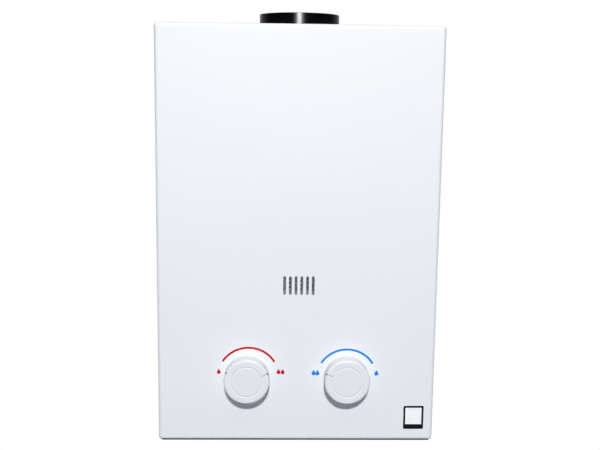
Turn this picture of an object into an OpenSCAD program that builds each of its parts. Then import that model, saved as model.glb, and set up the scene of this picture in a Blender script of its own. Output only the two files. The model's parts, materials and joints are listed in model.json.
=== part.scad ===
// Wall-hung tankless gas water heater: pressed-steel cover, flue collar, heat exchanger,
// burner, linked water and gas valve, ignition and battery box.
// X runs across the front, Y runs from the front panel to the wall, Z is up.
// The origin is the hanging hole, on the wall.

/* [Case] */
// Width of the front cover
case_w = 295; // [288:1:340]
// Height of the front cover
case_h = 440; // [436:1:520]
// Depth from the wall to the front panel
case_d = 122; // [121:1:150]
// Radius of the cover's pressed edges
edge_r = 4; // [3:0.5:10]
// Thickness of the cover's sheet
cover_t = 0.8; // [0.6:0.1:1.2]
// Thickness of the chassis's sheet
chassis_t = 1; // [0.8:0.1:1.4]
// Depth of the chassis's folded rim
rim_d = 15; // [12:1:20]
// Clearance between the cover and the chassis's rim
cover_gap = 0.4; // [0.3:0.1:0.6]
// Gap between the cover's back edge and the wall
wall_gap = 1; // [0.5:0.1:2]
// Width of the bottom cut-out in the cover
notch_w = 262; // [261:1:266]

/* [Wall fixing] */
// Drop of the hanging hole below the top of the case
hang_drop = 25; // [20:1:40]
// Diameter of the hanging hole
hang_d = 10; // [8:0.5:12]
// Width of the slot above the hanging hole
hang_slot_w = 5; // [4:0.5:6]
// Rise of that slot above the hole's centre
hang_slot_h = 11; // [9:0.5:13]
// Distance between the two lower wall screws
foot_pitch = 186; // [180:1:192]
// Height of the lower wall screws above the bottom of the case
foot_z = 24; // [16:1:30]
// Diameter of the lower screw holes
foot_d = 6; // [5:0.5:7]
// Width of the stiffening beads pressed into the chassis
bead_w = 14; // [10:1:18]
// Depth of those beads
bead_h = 3; // [2:0.5:4]

/* [Flue] */
// Outside diameter of the flue collar
flue_d = 85; // [78:1:88]
// Distance of the flue's axis from the wall
flue_off = 61; // [58:1:64]
// Height of the collar above the case
flue_h = 12.3; // [10:0.1:25]
// Wall of the collar
flue_t = 2; // [1.5:0.1:3]
// Radius of the collar's rim
flue_lip_r = 0.5; // [0.4:0.1:0.9]
// Clearance of the collar in the cover's top
flue_gap = 0.8; // [0.5:0.1:1.5]
// Width of the collar's base flange
flue_flange = 10; // [9:0.5:12]
// Sheet of the flue hood
hood_t = 0.8; // [0.6:0.1:1.2]
// Drop of the hood's top below the cover
hood_drop = 11; // [9:0.5:14]

/* [Knobs] */
// Diameter of the knobs
knob_d = 48; // [42:1:52]
// Height of the knobs
knob_h = 16; // [14:0.5:20]
// Distance between the knobs' axes
knob_pitch = 106; // [100:1:110]
// Height of the knobs' axes above the bottom of the case
knob_z = 70.5; // [68:0.5:76]
// Gap between the knobs and the panel
knob_gap = 0.8; // [0.5:0.1:1.5]
// Wall of the knobs
knob_t = 2; // [1.5:0.1:3]
// Thickness of the knobs' face
knob_face_t = 2.6; // [2:0.1:4]
// Radius of the knobs' front edge
knob_edge_r = 2.2; // [1:0.1:3]
// Diameter of the ring engraved in the face
ring_d = 32; // [26:1:36]
// Width of the engraved ring's groove
groove_w = 2; // [1.2:0.1:3]
// Depth of the engraved ring
groove_depth = 0.45; // [0.3:0.01:0.6]
// Width of the pointer's groove
pointer_w = 1.6; // [1:0.1:2]
// Depth of the pointer's groove, less than the ring's
pointer_depth = 0.28; // [0.1:0.01:0.29]
// Radius of the notches in the knob's rim
notch_r = 1.1; // [0.8:0.1:1.4]
// Length of those notches
notch_l = 3; // [2:0.5:5]
// Pointer's angle above the horizontal at full flow
pointer_deg = 22.5; // [0:0.5:45]
// Diameter of the knob's hub
hub_d = 14; // [12:0.5:16]
// Diameter of the spindles
spindle_d = 8; // [6:0.5:9]
// Height of the spindle's flat above its axis
flat_h = 2.6; // [2:0.1:3]
// Diameter of the spindle holes in the panel
panel_hole_d = 28; // [20:1:34]

/* [Viewing slots] */
// Number of slots
slot_n = 6; // [4:1:8]
// Width of a slot
slot_w = 3; // [2:0.1:3.6]
// Length of a slot
slot_l = 20; // [14:0.5:24]
// Distance between slots
slot_pitch = 6; // [5:0.1:6.5]
// Sideways place of the middle of the row
slot_x = 1.2; // [-10:0.1:10]
// Height of the middle of the slots above the bottom of the case
slot_z = 171; // [168:0.5:176]
// Pitch of the gauze's diamonds behind the slots
gauze_pitch = 3; // [2.5:0.1:4]
// Width of the gauze's strands
gauze_strand = 0.55; // [0.4:0.05:0.8]
// Thickness of the gauze
gauze_t = 0.6; // [0.4:0.1:1]
// Border of the gauze outside the slots
gauze_border = 5; // [4:0.5:8]

/* [Connections] */
// Outside diameter of the pipe threads
thread_d = 20.955; // [20:0.005:22]
// Length of the connectors below the case
conn_drop = 20; // [16:0.5:24]
// Distance of the valve and the connectors from the wall
valve_off = 42; // [41:0.5:46]
// Sideways place of the gas inlet
gas_x = -66; // [-70:0.5:-64]
// Sideways place of the cold water inlet
cold_x = 66; // [64:0.5:68]
// Sideways place of the hot water outlet
hot_x = -116; // [-117:0.5:-115]
// Height of the connectors' tops
conn_top = 30; // [26:0.5:34]
// Size of the connectors' hexagons across flats
hex_af = 27; // [25:0.5:30]
// Height of the connectors' hexagons
hex_h = 8; // [6:0.5:10]
// Height of the lock nuts
nut_h = 5; // [4:0.5:6]
// Thickness of the fibre washers
washer_t = 1.5; // [1:0.1:2]
// Width and depth of the thread's undercut
undercut = 2; // [1.5:0.1:2.5]
// Outside diameter of the water and gas pipes
pipe_d = 12; // [10:0.5:12]
// Wall of those pipes
pipe_wall = 1; // [0.7:0.1:1.2]
// Radial clearance of a pipe in its socket
pipe_fit = 0.1; // [0.05:0.01:0.2]
// Depth of a pipe in its socket
socket_d = 8; // [5:0.5:10]
// Bend radius of the pipes
bend_r = 16; // [14:0.5:18]

/* [Valve] */
// Diameter of the water valve's barrel
water_d = 34; // [32:0.5:38]
// Diameter of the gas valve's barrel
gas_d = 38; // [36:0.5:40]
// Diameter of the diaphragm's flanges
flange_d = 53; // [50:0.5:53]
// Thickness of the diaphragm's flanges
flange_t = 6; // [5:0.5:8]
// Diameter of the diaphragm's chamber
chamber_d = 40; // [36:0.5:40]
// Depth of the chamber on each side of the diaphragm
chamber_h = 6; // [5:0.5:7]
// Thickness of the diaphragm
diaphragm_t = 2; // [1.5:0.1:3]
// Sideways place of the diaphragm
diaphragm_x = 24; // [22:0.5:26]
// Right end of the water valve
water_end = 80; // [78:0.5:82]
// Left end of the gas valve
gas_end = -86; // [-90:0.5:-84]
// Right end of the gas valve
gas_near = -20; // [-22:0.5:-18]
// Travel of the push rod
rod_travel = 4; // [2:0.5:4.5]
// Diameter of the push rod
rod_d = 5; // [4:0.5:6]
// Radial clearance of turning and sliding shafts
shaft_fit = 0.05; // [0.03:0.01:0.1]
// Clearance between pieces that move past each other
move_gap = 0.3; // [0.2:0.05:0.5]
// Diameter of the spindle bosses
boss_d = 22; // [18:0.5:24]
// Reach of the spindle bosses in front of the valve's axis
boss_l = 28; // [26:0.5:30]
// Sideways place of the drain plug
drain_x = 43; // [43:0.5:44]
// Diameter of the drain plug's cap
drain_d = 16; // [14:0.5:17]

/* [Burner] */
// Number of burner bars
bar_n = 8; // [6:1:8]
// Distance between burner bars
bar_pitch = 22; // [20:0.5:22.5]
// Width of a burner bar's head
bar_w = 13; // [10:0.5:14]
// Height of the burner's mixing tubes above the bottom of the case
burner_z = 124; // [122:0.5:128]
// Height of the bars from the tube's axis to the top of the head
bar_h = 36; // [32:0.5:38]
// Diameter of a mixing tube
mixer_d = 12; // [10:0.5:13]
// Number of flame ports on a bar
port_n = 12; // [8:1:14]
// Width of a flame port
port_w = 1.5; // [1:0.1:2]
// Diameter of the gas manifold
manifold_d = 16; // [14:0.5:18]
// Height of the burner's frame
frame_h = 36; // [34:0.5:40]
// Rise of the frame's lower edge above the mixing tubes' axis
frame_rise = 12; // [10:0.5:14]

/* [Heat exchanger] */
// Width of the heat exchanger's shell
shell_w = 190; // [188:1:196]
// Depth of the shell
shell_d = 78; // [76:0.5:80]
// Height of the shell
shell_h = 176; // [172:1:190]
// Sheet of the shell
shell_t = 1; // [0.8:0.1:1.2]
// Distance of the shell's middle from the wall
shell_off = 61; // [60:0.5:62]
// Number of fins
fin_n = 37; // [30:1:40]
// Thickness of a fin
fin_t = 0.5; // [0.3:0.1:0.8]
// Height of a fin
fin_h = 46; // [40:1:50]
// Number of tubes through the fins
tube_n = 5; // [5:2:5]
// Distance between those tubes
tube_pitch = 14.5; // [13.5:0.1:15]
// Drop of the tubes below the top of the shell
tube_drop = 28; // [26:0.5:30]
// Rise of the water coil at each turn
coil_rise = 30; // [24:0.5:32]
// Height of the coil's first turn above the shell's bottom
coil_start = 28; // [26:0.5:32]
// Gap between the coil and the shell
coil_gap = 0.6; // [0.4:0.1:0.8]

/* [Battery box] */
// Diameter of a D cell
cell_d = 33.2; // [32.3:0.1:34.2]
// Length of a D cell
cell_l = 61; // [59.5:0.1:61.5]
// Wall of the battery box
box_t = 2; // [1.5:0.1:2.5]
// Clearance around the cells
cell_gap = 0.6; // [0.4:0.1:0.8]
// Distance of the box's back wall from the wall
box_off = 69; // [69:0.5:71]
// Thickness of the battery lid
lid_t = 2; // [1.5:0.1:2.2]
// Diameter of the lid's hinge barrel
barrel_d = 3.2; // [3:0.1:3.4]
// Diameter of the hinge pin
pin_d = 1.6; // [1.4:0.1:1.8]

/* [Ignition] */
// Width of the igniter box
igniter_w = 34; // [30:1:36]
// Depth of the igniter box
igniter_d = 42; // [36:1:46]
// Height of the igniter box
igniter_h = 72; // [60:1:80]
// Height of the igniter box above the bottom of the case
igniter_z = 148; // [140:1:160]
// Diameter of the electrodes' ceramics
ceramic_d = 7; // [6:0.5:8]
// Diameter of the electrodes' rods
electrode_d = 2; // [1.5:0.1:2.5]
// Sideways place of the electrodes
electrode_x = 33; // [32:0.5:34]
// Diameter of the leads
lead_d = 3; // [2.5:0.1:3.5]

/* [Hidden] */
$fn = 64;
over = 1;
hang_z = case_h - hang_drop;
front_y = -case_d;
inner_front = front_y + cover_t;
cover_back = -wall_gap;
pipe_r = pipe_d / 2;
pipe_bore = pipe_d - 2 * pipe_wall;
socket_r = pipe_r + pipe_fit;
thread_r = thread_d / 2;
screw_d = 3.5;
screw_head_d = 7;
screw_head_h = 2.2;
screw_gap = 0.35;
screw_fit = 0.1;
screw_l = 7;

// Chassis and shelf
chassis_w = case_w - 2 * (cover_t + cover_gap);
chassis_h = case_h - 2 * (cover_t + cover_gap);
chassis_r = edge_r - cover_t - cover_gap;
chassis_front = -chassis_t;
shelf_z = cover_t + cover_gap + chassis_t;
shelf_top = shelf_z + chassis_t;
shelf_gap = 0.5;
panel_gap = 0.5;
shelf_half = case_w / 2 - edge_r - shelf_gap;
shelf_front = front_y + edge_r + shelf_gap;
shelf_back = chassis_front - move_gap;
notch_front = shelf_front + 1;
rim_mid = -rim_d / 2;
top_screw_x = case_w / 2 - 28;
low_screw_x = (notch_w / 2 + case_w / 2 - edge_r) / 2;
shelf_screw_x = notch_w / 2 - 27;

// Burner, shell and flue
frame_z = burner_z + frame_rise;
shell_z = frame_z + frame_h;
shell_top = shell_z + shell_h;
shell_front = -shell_off - shell_d / 2;
shell_back = -shell_off + shell_d / 2;
shell_r = bend_r - pipe_r - coil_gap;
bar_top = burner_z + bar_h;
manifold_y = shell_front - 9;
tube_z = shell_top - tube_drop;
tube_end = shell_w / 2 + 6;
hood_top = case_h - cover_t - hood_drop;
skirt_h = 6;
flue_r = flue_d / 2;
flue_bore_r = flue_r - flue_t;
flue_flange_t = 1.2;
seat_step = 0.8;
seat_r = flue_r - seat_step;
seat_z = case_h + 0.3;
skirt_gap = 0.2;

// Valve, spindles and connectors
valve_y = -valve_off;
pad_back = 22;
diaphragm_end = diaphragm_x + diaphragm_t;
cover_near = diaphragm_x - chamber_h - 2;
screw_ring_r = (flange_d + chamber_d) / 4;
rod_end = gas_near - 26;
plug_t = 4;
seat_x = gas_near - 22;
spindle_back = pipe_r + 1;
collar_x = gas_near + rod_travel + 8;
rod_collar_r = 9;
rod_collar_t = 3;
plug_r = 9.5;
gas_room_r = 13;
gas_port_r = 6;
gas_way_r = 9;
gland_l = 7;
m4_r = 1.8;
m4_hole_r = 1.9;
m4_head_r = 3;
m4_head_h = 2.5;
drain_top = 24;
drain_stem_r = 6;
drain_boss_r = 6.5;
drain_bore_r = 3;
drain_cap_top = 6;
drain_cap_foot = -4;
union_af = 22;
union_h = 6;

// Battery box
box_w = 2 * cell_d + 3 * cell_gap + 2 * box_t;
box_d = cell_d + 2 * cell_gap + 2 * box_t;
box_back = -box_off;
box_front = box_back - box_d;
box_foot = 1.5;
cell_z = box_foot + 0.5;
contact_h = 4;
box_top = cell_z + cell_l + contact_h + box_t;
cell_x = (cell_d + cell_gap) / 2;
cell_y = box_back - box_d / 2;
lid_top = box_foot - move_gap;
hinge_y = box_back + 2.6;
hinge_z = lid_top - lid_t / 2;
barrel_half = 24;
lug_w = 6;

// Ignition
igniter_gap = 1;
igniter_x = -case_w / 2 + cover_t + cover_gap + chassis_t + igniter_gap;
electrode_z = bar_top + 6;
terminal_y = inner_front + 1.7;

// Basic shapes

// Box between two corners
module block(a, b) translate(a) cube(b - a);

// Round bars along each axis
module bar_x(r, x0, x1) translate([x0, 0, 0]) rotate([0, 90, 0]) cylinder(r = r, h = x1 - x0);
module bar_y(r, y0, y1) translate([0, y0, 0]) rotate([-90, 0, 0]) cylinder(r = r, h = y1 - y0);
module bar_z(r, z0, z1) translate([0, 0, z0]) cylinder(r = r, h = z1 - z0);

// Upright hexagonal bar, measured across its flats
module hex_z(af, z0, z1) translate([0, 0, z0]) rotate([0, 0, 30])
    cylinder(d = af / cos(30), h = z1 - z0, $fn = 6);

// A drawing in X and Z made thick along Y, and one in Y and Z made thick along X
module thick_y(y0, y1) translate([0, y1, 0]) rotate([90, 0, 0]) linear_extrude(y1 - y0) children();
module thick_x(x0, x1) translate([x0, 0, 0]) rotate([90, 0, 90]) linear_extrude(x1 - x0) children();

// Rectangle with round corners, about the origin
module round_rect(w, h, r) {
    square([w - 2 * r, h], center = true);
    square([w, h - 2 * r], center = true);
    for (x = [r - w / 2, w / 2 - r], y = [r - h / 2, h / 2 - r]) translate([x, y]) circle(r);
}

// Slot with round ends, its length along the second axis
module slot(w, l) {
    square([w, l - w], center = true);
    for (y = [-1, 1]) translate([0, y * (l - w) / 2]) circle(w / 2);
}

// Pan-head screw pointing down, with its head's seat at the origin
module pan_screw(length) {
    edge = 1;
    rotate_extrude() {
        square([screw_head_d / 2 - edge, screw_head_h]);
        square([screw_head_d / 2, screw_head_h - edge]);
        translate([screw_head_d / 2 - edge, screw_head_h - edge]) circle(edge);
        translate([0, -length]) square([screw_d / 2, length]);
    }
}

// Pipes and leads: straight runs joined by true bends

function unit(v) = v / norm(v);
function across(v) = unit(abs(v.z) < 0.9 ? cross([0, 0, 1], v) : cross([1, 0, 0], v));
function turn(a, b, c) = acos(unit(b - a) * unit(c - b));
function bend_run(a, b, c, r) = r * tan(turn(a, b, c) / 2);

// Places children with their axes along three unit vectors, at a point
module on_axes(x, y, z, p) multmatrix([
    [x.x, y.x, z.x, p.x],
    [x.y, y.y, z.y, p.y],
    [x.z, y.z, z.z, p.z],
    [0, 0, 0, 1]
]) children();

// Section of a pipe, or of a solid lead where it has no bore
module pipe_section(d, bore) difference() {
    circle(d = d);
    if (bore > 0) circle(d = bore);
}

// Straight run between two points
module run(p, q, d, bore) {
    z = unit(q - p);
    x = across(z);
    on_axes(x, cross(z, x), z, p) linear_extrude(norm(q - p)) pipe_section(d, bore);
}

// Bend at corner b, between the legs that come from a and go to c
module bend(a, b, c, d, bore, r) {
    u = unit(b - a);
    w = unit(c - b);
    n = unit(w - u * (u * w));
    centre = b - u * bend_run(a, b, c, r) + n * r;
    on_axes(-n, u, cross(u, n), centre) rotate_extrude(angle = turn(a, b, c))
        translate([r, 0]) pipe_section(d, bore);
}

// Pipe of diameter d along the points p, with a bend radius for each inner corner
module pipe(p, d, bore, r) {
    last = len(p) - 1;
    for (i = [0 : last - 1]) {
        u = unit(p[i + 1] - p[i]);
        start = i == 0 ? 0 : bend_run(p[i - 1], p[i], p[i + 1], r[i - 1]);
        end = i == last - 1 ? 0 : bend_run(p[i], p[i + 1], p[i + 2], r[i]);
        if (norm(p[i + 1] - p[i]) - start - end > 0.01) run(p[i] + u * start, p[i + 1] - u * end, d, bore);
    }
    for (i = [1 : last - 1]) bend(p[i - 1], p[i], p[i + 1], d, bore, r[i - 1]);
}

// Case

// Outline with its two front corners rounded: across the case, then from front to back
module front_profile(lo, hi, front, back, r) {
    translate([lo, front + r]) square([hi - lo, back - front - r]);
    translate([lo + r, front]) square([hi - lo - 2 * r, back - front]);
    for (u = [lo + r, hi - r]) translate([u, front + r]) circle(r);
}

// The case as a solid block with rounded front edges, drawn in by inset
module case_block(inset, back) {
    r = edge_r - inset;
    half = case_w / 2 - inset;
    top = case_h - inset;
    front = front_y + inset;
    translate([0, 0, inset + r]) linear_extrude(top - inset - 2 * r)
        front_profile(-half, half, front, back, r);
    translate([half - r, 0, 0]) rotate([0, -90, 0]) linear_extrude(2 * (half - r))
        front_profile(inset, top, front, back, r);
    for (x = [r - half, half - r], z = [inset + r, top - r]) translate([x, front + r, z]) {
        sphere(r);
        bar_y(r, 0, back - front - r);
    }
}

module cover_screw_places() {
    for (s = [-1, 1]) translate([s * top_screw_x, rim_mid, case_h]) children();
    for (s = [-1, 1]) translate([s * low_screw_x, rim_mid, 0]) rotate([180, 0, 0]) children();
}

module shelf_screw_places() for (s = [-1, 1])
    translate([s * shelf_screw_x, rim_mid, shelf_z - chassis_t]) rotate([180, 0, 0]) children();

module front_cover() color("white") difference() {
    case_block(0, cover_back);
    case_block(cover_t, over);
    for (i = [0 : slot_n - 1]) translate([slot_x + (i - (slot_n - 1) / 2) * slot_pitch, 0, slot_z])
        thick_y(front_y - over, inner_front + over) slot(slot_w, slot_l);
    for (s = [-1, 1]) translate([s * knob_pitch / 2, 0, knob_z])
        bar_y(panel_hole_d / 2, front_y - over, inner_front + over);
    translate([0, -flue_off, 0]) bar_z(flue_r + flue_gap, case_h - cover_t - over, case_h + over);
    block([-notch_w / 2, notch_front, -over], [notch_w / 2, over, cover_t + over]);
    cover_screw_places() bar_z(screw_d / 2 + screw_gap, -cover_t - over, over);
}

module back_plate() color("gainsboro") difference() {
    union() {
        translate([0, 0, case_h / 2]) thick_y(chassis_front, 0) round_rect(chassis_w, chassis_h, chassis_r);
        translate([0, 0, case_h / 2]) thick_y(-rim_d, 0) difference() {
            round_rect(chassis_w, chassis_h, chassis_r);
            round_rect(chassis_w - 2 * chassis_t, chassis_h - 2 * chassis_t, chassis_r - chassis_t);
        }
        bead_places() thick_y(chassis_front - bead_h, 0) slot(bead_w, bead_l());
    }
    bead_places() thick_y(-bead_h, over) slot(bead_w - 2 * chassis_t, bead_l() - 2 * chassis_t);
    translate([0, 0, hang_z]) {
        bar_y(hang_d / 2, chassis_front - over, over);
        thick_y(chassis_front - over, over) {
            translate([-hang_slot_w / 2, 0]) square([hang_slot_w, hang_slot_h - hang_slot_w / 2]);
            translate([0, hang_slot_h - hang_slot_w / 2]) circle(d = hang_slot_w);
        }
    }
    for (s = [-1, 1]) translate([s * foot_pitch / 2, 0, foot_z])
        bar_y(foot_d / 2, chassis_front - over, over);
    cover_screw_places() bar_z(screw_d / 2 + screw_fit, -shelf_z - over, over);
    shelf_screw_places() bar_z(screw_d / 2 + screw_fit, -shelf_z, over);
}

// Beads stand between the exchanger's brackets, and stop short of the hanging hole
module bead_places() for (s = [-1, 1]) translate([s * shell_w / 4, 0, (burner_z + tube_z) / 2]) children();
function bead_l() = tube_z - burner_z;

// Air slots of the bottom plate: rows beside the battery box and outside the connectors
module air_slots(x0, x1, y0, y1) {
    w = 4;
    n = floor((x1 - x0) / 9);
    for (i = [0 : n - 1]) translate([x0 + (i + 0.5) * (x1 - x0) / n, (y0 + y1) / 2, 0]) slot(w, y1 - y0);
}

module bottom_plate() color("silver") difference() {
    translate([0, 0, shelf_z]) linear_extrude(chassis_t) difference() {
        translate([-shelf_half, shelf_front]) square([2 * shelf_half, shelf_back - shelf_front]);
        for (x = [gas_x, cold_x, hot_x]) translate([x, valve_y]) circle(thread_r + panel_gap);
        translate([drain_x, valve_y]) circle(drain_d / 2 + panel_gap);
        translate([-box_w / 2 - panel_gap, box_front - panel_gap])
            square([box_w + 2 * panel_gap, hinge_y + barrel_d - box_front + panel_gap]);
        for (s = [-1, 1]) mirror([s < 0 ? 1 : 0, 0]) {
            air_slots(box_w / 2 + 8, shelf_half - 12, shelf_front + 8, box_back - 2);
        }
        air_slots(cold_x + 22, shelf_half - 12, valve_y - 14, -rim_d - 6);
    }
    cover_screw_places() bar_z(screw_d / 2 + screw_fit, -shelf_top - over, over);
    shelf_screw_places() bar_z(screw_d / 2 + screw_fit, -shelf_top, over);
}

module cover_screws() color("silver") cover_screw_places() pan_screw(screw_l);

module shelf_screws() color("silver") shelf_screw_places() pan_screw(screw_l);

// Flue

module flue_collar() color("black") translate([0, -flue_off, 0]) difference() {
    rotate_extrude() {
        lip_z = case_h + flue_h - flue_lip_r;
        translate([flue_bore_r, hood_top]) square([flue_flange + flue_t, flue_flange_t]);
        translate([flue_bore_r, hood_top]) square([seat_r - flue_bore_r, seat_z - hood_top]);
        translate([flue_bore_r, seat_z]) square([flue_t, lip_z - seat_z]);
        translate([flue_bore_r + flue_lip_r, lip_z]) square([flue_t - 2 * flue_lip_r, flue_lip_r]);
        for (r = [flue_bore_r + flue_lip_r, flue_r - flue_lip_r]) translate([r, lip_z]) circle(flue_lip_r);
    }
    collar_screw_places() bar_z(screw_d / 2 + screw_gap, hood_top - over, hood_top + flue_flange_t + over);
}

// Four screws hold the collar's flange down on the hood
module collar_screw_places() for (a = [45 : 90 : 315]) rotate([0, 0, a])
    translate([flue_r + flue_flange / 2, 0, 0]) children();

module collar_screws() color("silver") translate([0, -flue_off, hood_top + flue_flange_t])
    collar_screw_places() pan_screw(flue_flange_t + chassis_t + 0.8);

// The hood's skirt fits round the shell, and its walls run from that rectangle to a round top
module hood_loft(grow, z0, z1, top_r) hull() {
    translate([0, -shell_off, z0]) linear_extrude(0.1)
        square([shell_w + 2 * grow, shell_d + 2 * grow], center = true);
    translate([0, -flue_off, z1 - 0.1]) cylinder(r = top_r, h = 0.1, $fn = 32);
}

module flue_hood() color("lightgray") {
    grow = skirt_gap + hood_t;
    translate([0, -shell_off, shell_top - skirt_h]) linear_extrude(skirt_h) difference() {
        square([shell_w + 2 * grow, shell_d + 2 * grow], center = true);
        square([shell_w + 2 * skirt_gap, shell_d + 2 * skirt_gap], center = true);
    }
    difference() {
        hood_loft(grow, shell_top, hood_top - chassis_t, flue_r + 2);
        hood_loft(skirt_gap, shell_top - 0.1, hood_top - chassis_t + 0.1, flue_r + 2 - hood_t);
    }
    translate([0, -flue_off, 0]) difference() {
        bar_z(flue_bore_r + flue_flange + flue_t, hood_top - chassis_t, hood_top);
        bar_z(flue_bore_r, hood_top - chassis_t - over, hood_top + over);
        collar_screw_places() bar_z(screw_d / 2 + screw_fit, hood_top - chassis_t - over, hood_top + over);
    }
}

// Heat exchanger

// Rounded rectangular duct of the shell and of the burner's frame
module duct(h) linear_extrude(h) difference() {
    round_rect(shell_w, shell_d, shell_r);
    round_rect(shell_w - 2 * shell_t, shell_d - 2 * shell_t, shell_r - shell_t);
}

module tube_places() for (i = [0 : tube_n - 1])
    translate([0, -shell_off + (i - (tube_n - 1) / 2) * tube_pitch, tube_z]) children();

// Viewing window in the front of the frame and the shell, behind the slots
window_half = 22;
module window(z0, z1) block(
    [slot_x - window_half, shell_front - over, z0],
    [slot_x + window_half, shell_front + shell_t + over, z1]
);

module exchanger_shell() color("peru") difference() {
    translate([0, -shell_off, shell_z]) duct(shell_h);
    tube_places() bar_x(socket_r, -shell_w, shell_w);
    window(shell_z - over, slot_z + slot_l / 2 + 3);
}

module exchanger_fins() color("chocolate") {
    pitch = (shell_w - 10) / (fin_n - 1);
    fin_d = shell_d - 6;
    for (i = [0 : fin_n - 1]) translate([(i - (fin_n - 1) / 2) * pitch, -shell_off, tube_z])
        thick_x(-fin_t / 2, fin_t / 2) difference() {
            square([fin_d, fin_h], center = true);
            for (k = [0 : tube_n - 1]) translate([(k - (tube_n - 1) / 2) * tube_pitch, 0]) circle(socket_r);
        }
}

// Tubes pass the fins in turn, joined by return bends outside the shell
function tube_y(i) = -shell_off + (i - (tube_n - 1) / 2) * tube_pitch;
return_x = tube_end + tube_pitch / 2;
function pass_side(i) = i % 2 == 0 ? -1 : 1;
tube_points = [
    [tube_end, tube_y(tube_n - 1), tube_z],
    for (i = [0 : tube_n - 2]) each [
        [pass_side(i) * return_x, tube_y(tube_n - 1 - i), tube_z],
        [pass_side(i) * return_x, tube_y(tube_n - 2 - i), tube_z]
    ],
    [-tube_end, tube_y(0), tube_z]
];

module exchanger_tubes() color("peru")
    pipe(tube_points, pipe_d, pipe_bore, [for (i = [1 : len(tube_points) - 2]) tube_pitch / 2]);

// Water coil: up from the valve, twice round the shell with a step up on the left side of each turn,
// then up to the first fin tube
coil_x = shell_w / 2 + pipe_r + coil_gap;
coil_front = shell_front - pipe_r - coil_gap;
coil_back = shell_back + pipe_r + coil_gap;
coil_z = shell_z + coil_start;
coil_end_x = tube_end + 8;
riser_r = bend_r - 0.5;
riser_x = max(coil_x, water_end + union_h + riser_r);
coil_points = [
    [water_end - socket_d, valve_y, knob_z],
    [riser_x, valve_y, knob_z],
    [riser_x, valve_y, coil_z],
    [riser_x, coil_front, coil_z],
    [-coil_x, coil_front, coil_z],
    [-coil_x, -shell_off, coil_z],
    [-coil_x, -shell_off, coil_z + coil_rise],
    [-coil_x, coil_back, coil_z + coil_rise],
    [coil_x, coil_back, coil_z + coil_rise],
    [coil_x, coil_front, coil_z + coil_rise],
    [-coil_x, coil_front, coil_z + coil_rise],
    [-coil_x, -shell_off, coil_z + coil_rise],
    [-coil_x, -shell_off, coil_z + 2 * coil_rise],
    [-coil_x, coil_back, coil_z + 2 * coil_rise],
    [coil_end_x, coil_back, coil_z + 2 * coil_rise],
    [coil_end_x, tube_y(tube_n - 1), coil_z + 2 * coil_rise],
    [coil_end_x, tube_y(tube_n - 1), tube_z],
    [tube_end, tube_y(tube_n - 1), tube_z]
];
tight_r = 7.8;
step_r = coil_rise / 2 - 0.5;

first_bends = [riser_r, bend_r, bend_r, bend_r, step_r, step_r];
turn_bends = [bend_r, bend_r, bend_r, bend_r, step_r, step_r];
coil_bends = concat(first_bends, turn_bends, [bend_r, tight_r, tight_r, tight_r]);

module water_coil() color("peru") pipe(coil_points, pipe_d, pipe_bore, coil_bends);

// Hot water pipe: from the last fin tube down the left side to the outlet
hot_bend_r = bend_r - 1;
hot_run_x = min(hot_x, -tube_end - hot_bend_r);
hot_rise = 30;
hot_turn_z = conn_top + hot_rise;
hot_points = [
    [-tube_end, tube_y(0), tube_z],
    [hot_run_x, tube_y(0), tube_z],
    [hot_run_x, tube_y(0), hot_turn_z],
    [hot_x, valve_y, hot_turn_z],
    [hot_x, valve_y, conn_top - socket_d]
];

module hot_pipe() color("peru")
    pipe(hot_points, pipe_d, pipe_bore, [for (i = [1 : 3]) hot_bend_r]);

// Channel brackets between the shell's back and the chassis
module exchanger_brackets() color("silver") {
    w = 24;
    t = 1.5;
    h = 14;
    inset = 18;
    rise = 12;
    for (s = [-1, 1], z = [shell_z + rise, tube_z - fin_h / 2]) translate([s * (shell_w / 2 - inset), 0, z])
        thick_x(-w / 2, w / 2) polygon([
            [shell_back, -h / 2], [shell_back + t, -h / 2], [shell_back + t, h / 2 - t],
            [chassis_front - t, h / 2 - t], [chassis_front - t, -h / 2], [chassis_front, -h / 2],
            [chassis_front, h / 2], [shell_back, h / 2]
        ]);
}

module thermostat() color("dimgray") translate([shell_w / 3, shell_front, tube_z - fin_h / 2 - 14]) {
    bar_y(8, -7, 0);
    thick_y(-1, 0) round_rect(26, 12, 3);
    for (x = [-3, 3]) block([x - 0.4, -13, -2], [x + 0.4, -7, 2]);
}

// Burner

module burner_frame() color("gray") difference() {
    translate([0, -shell_off, frame_z]) duct(frame_h);
    window(slot_z - slot_l / 2 - 1, shell_z + over);
    for (s = [-1, 1]) translate([s * electrode_x, 0, electrode_z])
        bar_y(ceramic_d / 2 + 0.1, shell_front - over, shell_front + shell_t + over);
}

function bar_place(i) = (i - (bar_n - 1) / 2) * bar_pitch;

// One bar: mixing tube below, narrow neck, wide head with a row of flame ports
module burner_bar() {
    head_h = 14;
    neck_w = 4;
    front = shell_front + shell_t;
    back = shell_back - shell_t;
    port_pitch = (back - front - 10) / (port_n - 1);
    difference() {
        union() {
            thick_y(front, back) {
                translate([-bar_w / 2, bar_h - head_h]) square([bar_w, head_h - 2]);
                translate([2 - bar_w / 2, bar_h - head_h]) square([bar_w - 4, head_h]);
                for (s = [-1, 1]) translate([s * (bar_w / 2 - 2), bar_h - 2]) circle(2);
            }
            thick_y(front + 9, back) {
                circle(d = mixer_d);
                translate([-neck_w / 2, 0]) square([neck_w, bar_h - head_h]);
            }
        }
        bar_y(mixer_d / 2 - 1, front, back - 6);
        for (k = [0 : port_n - 1]) translate([0, front + 5 + k * port_pitch, 0])
            block([1.5 - bar_w / 2, -port_w / 2, bar_h - 4], [bar_w / 2 - 1.5, port_w / 2, bar_h + over]);
    }
}

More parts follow.
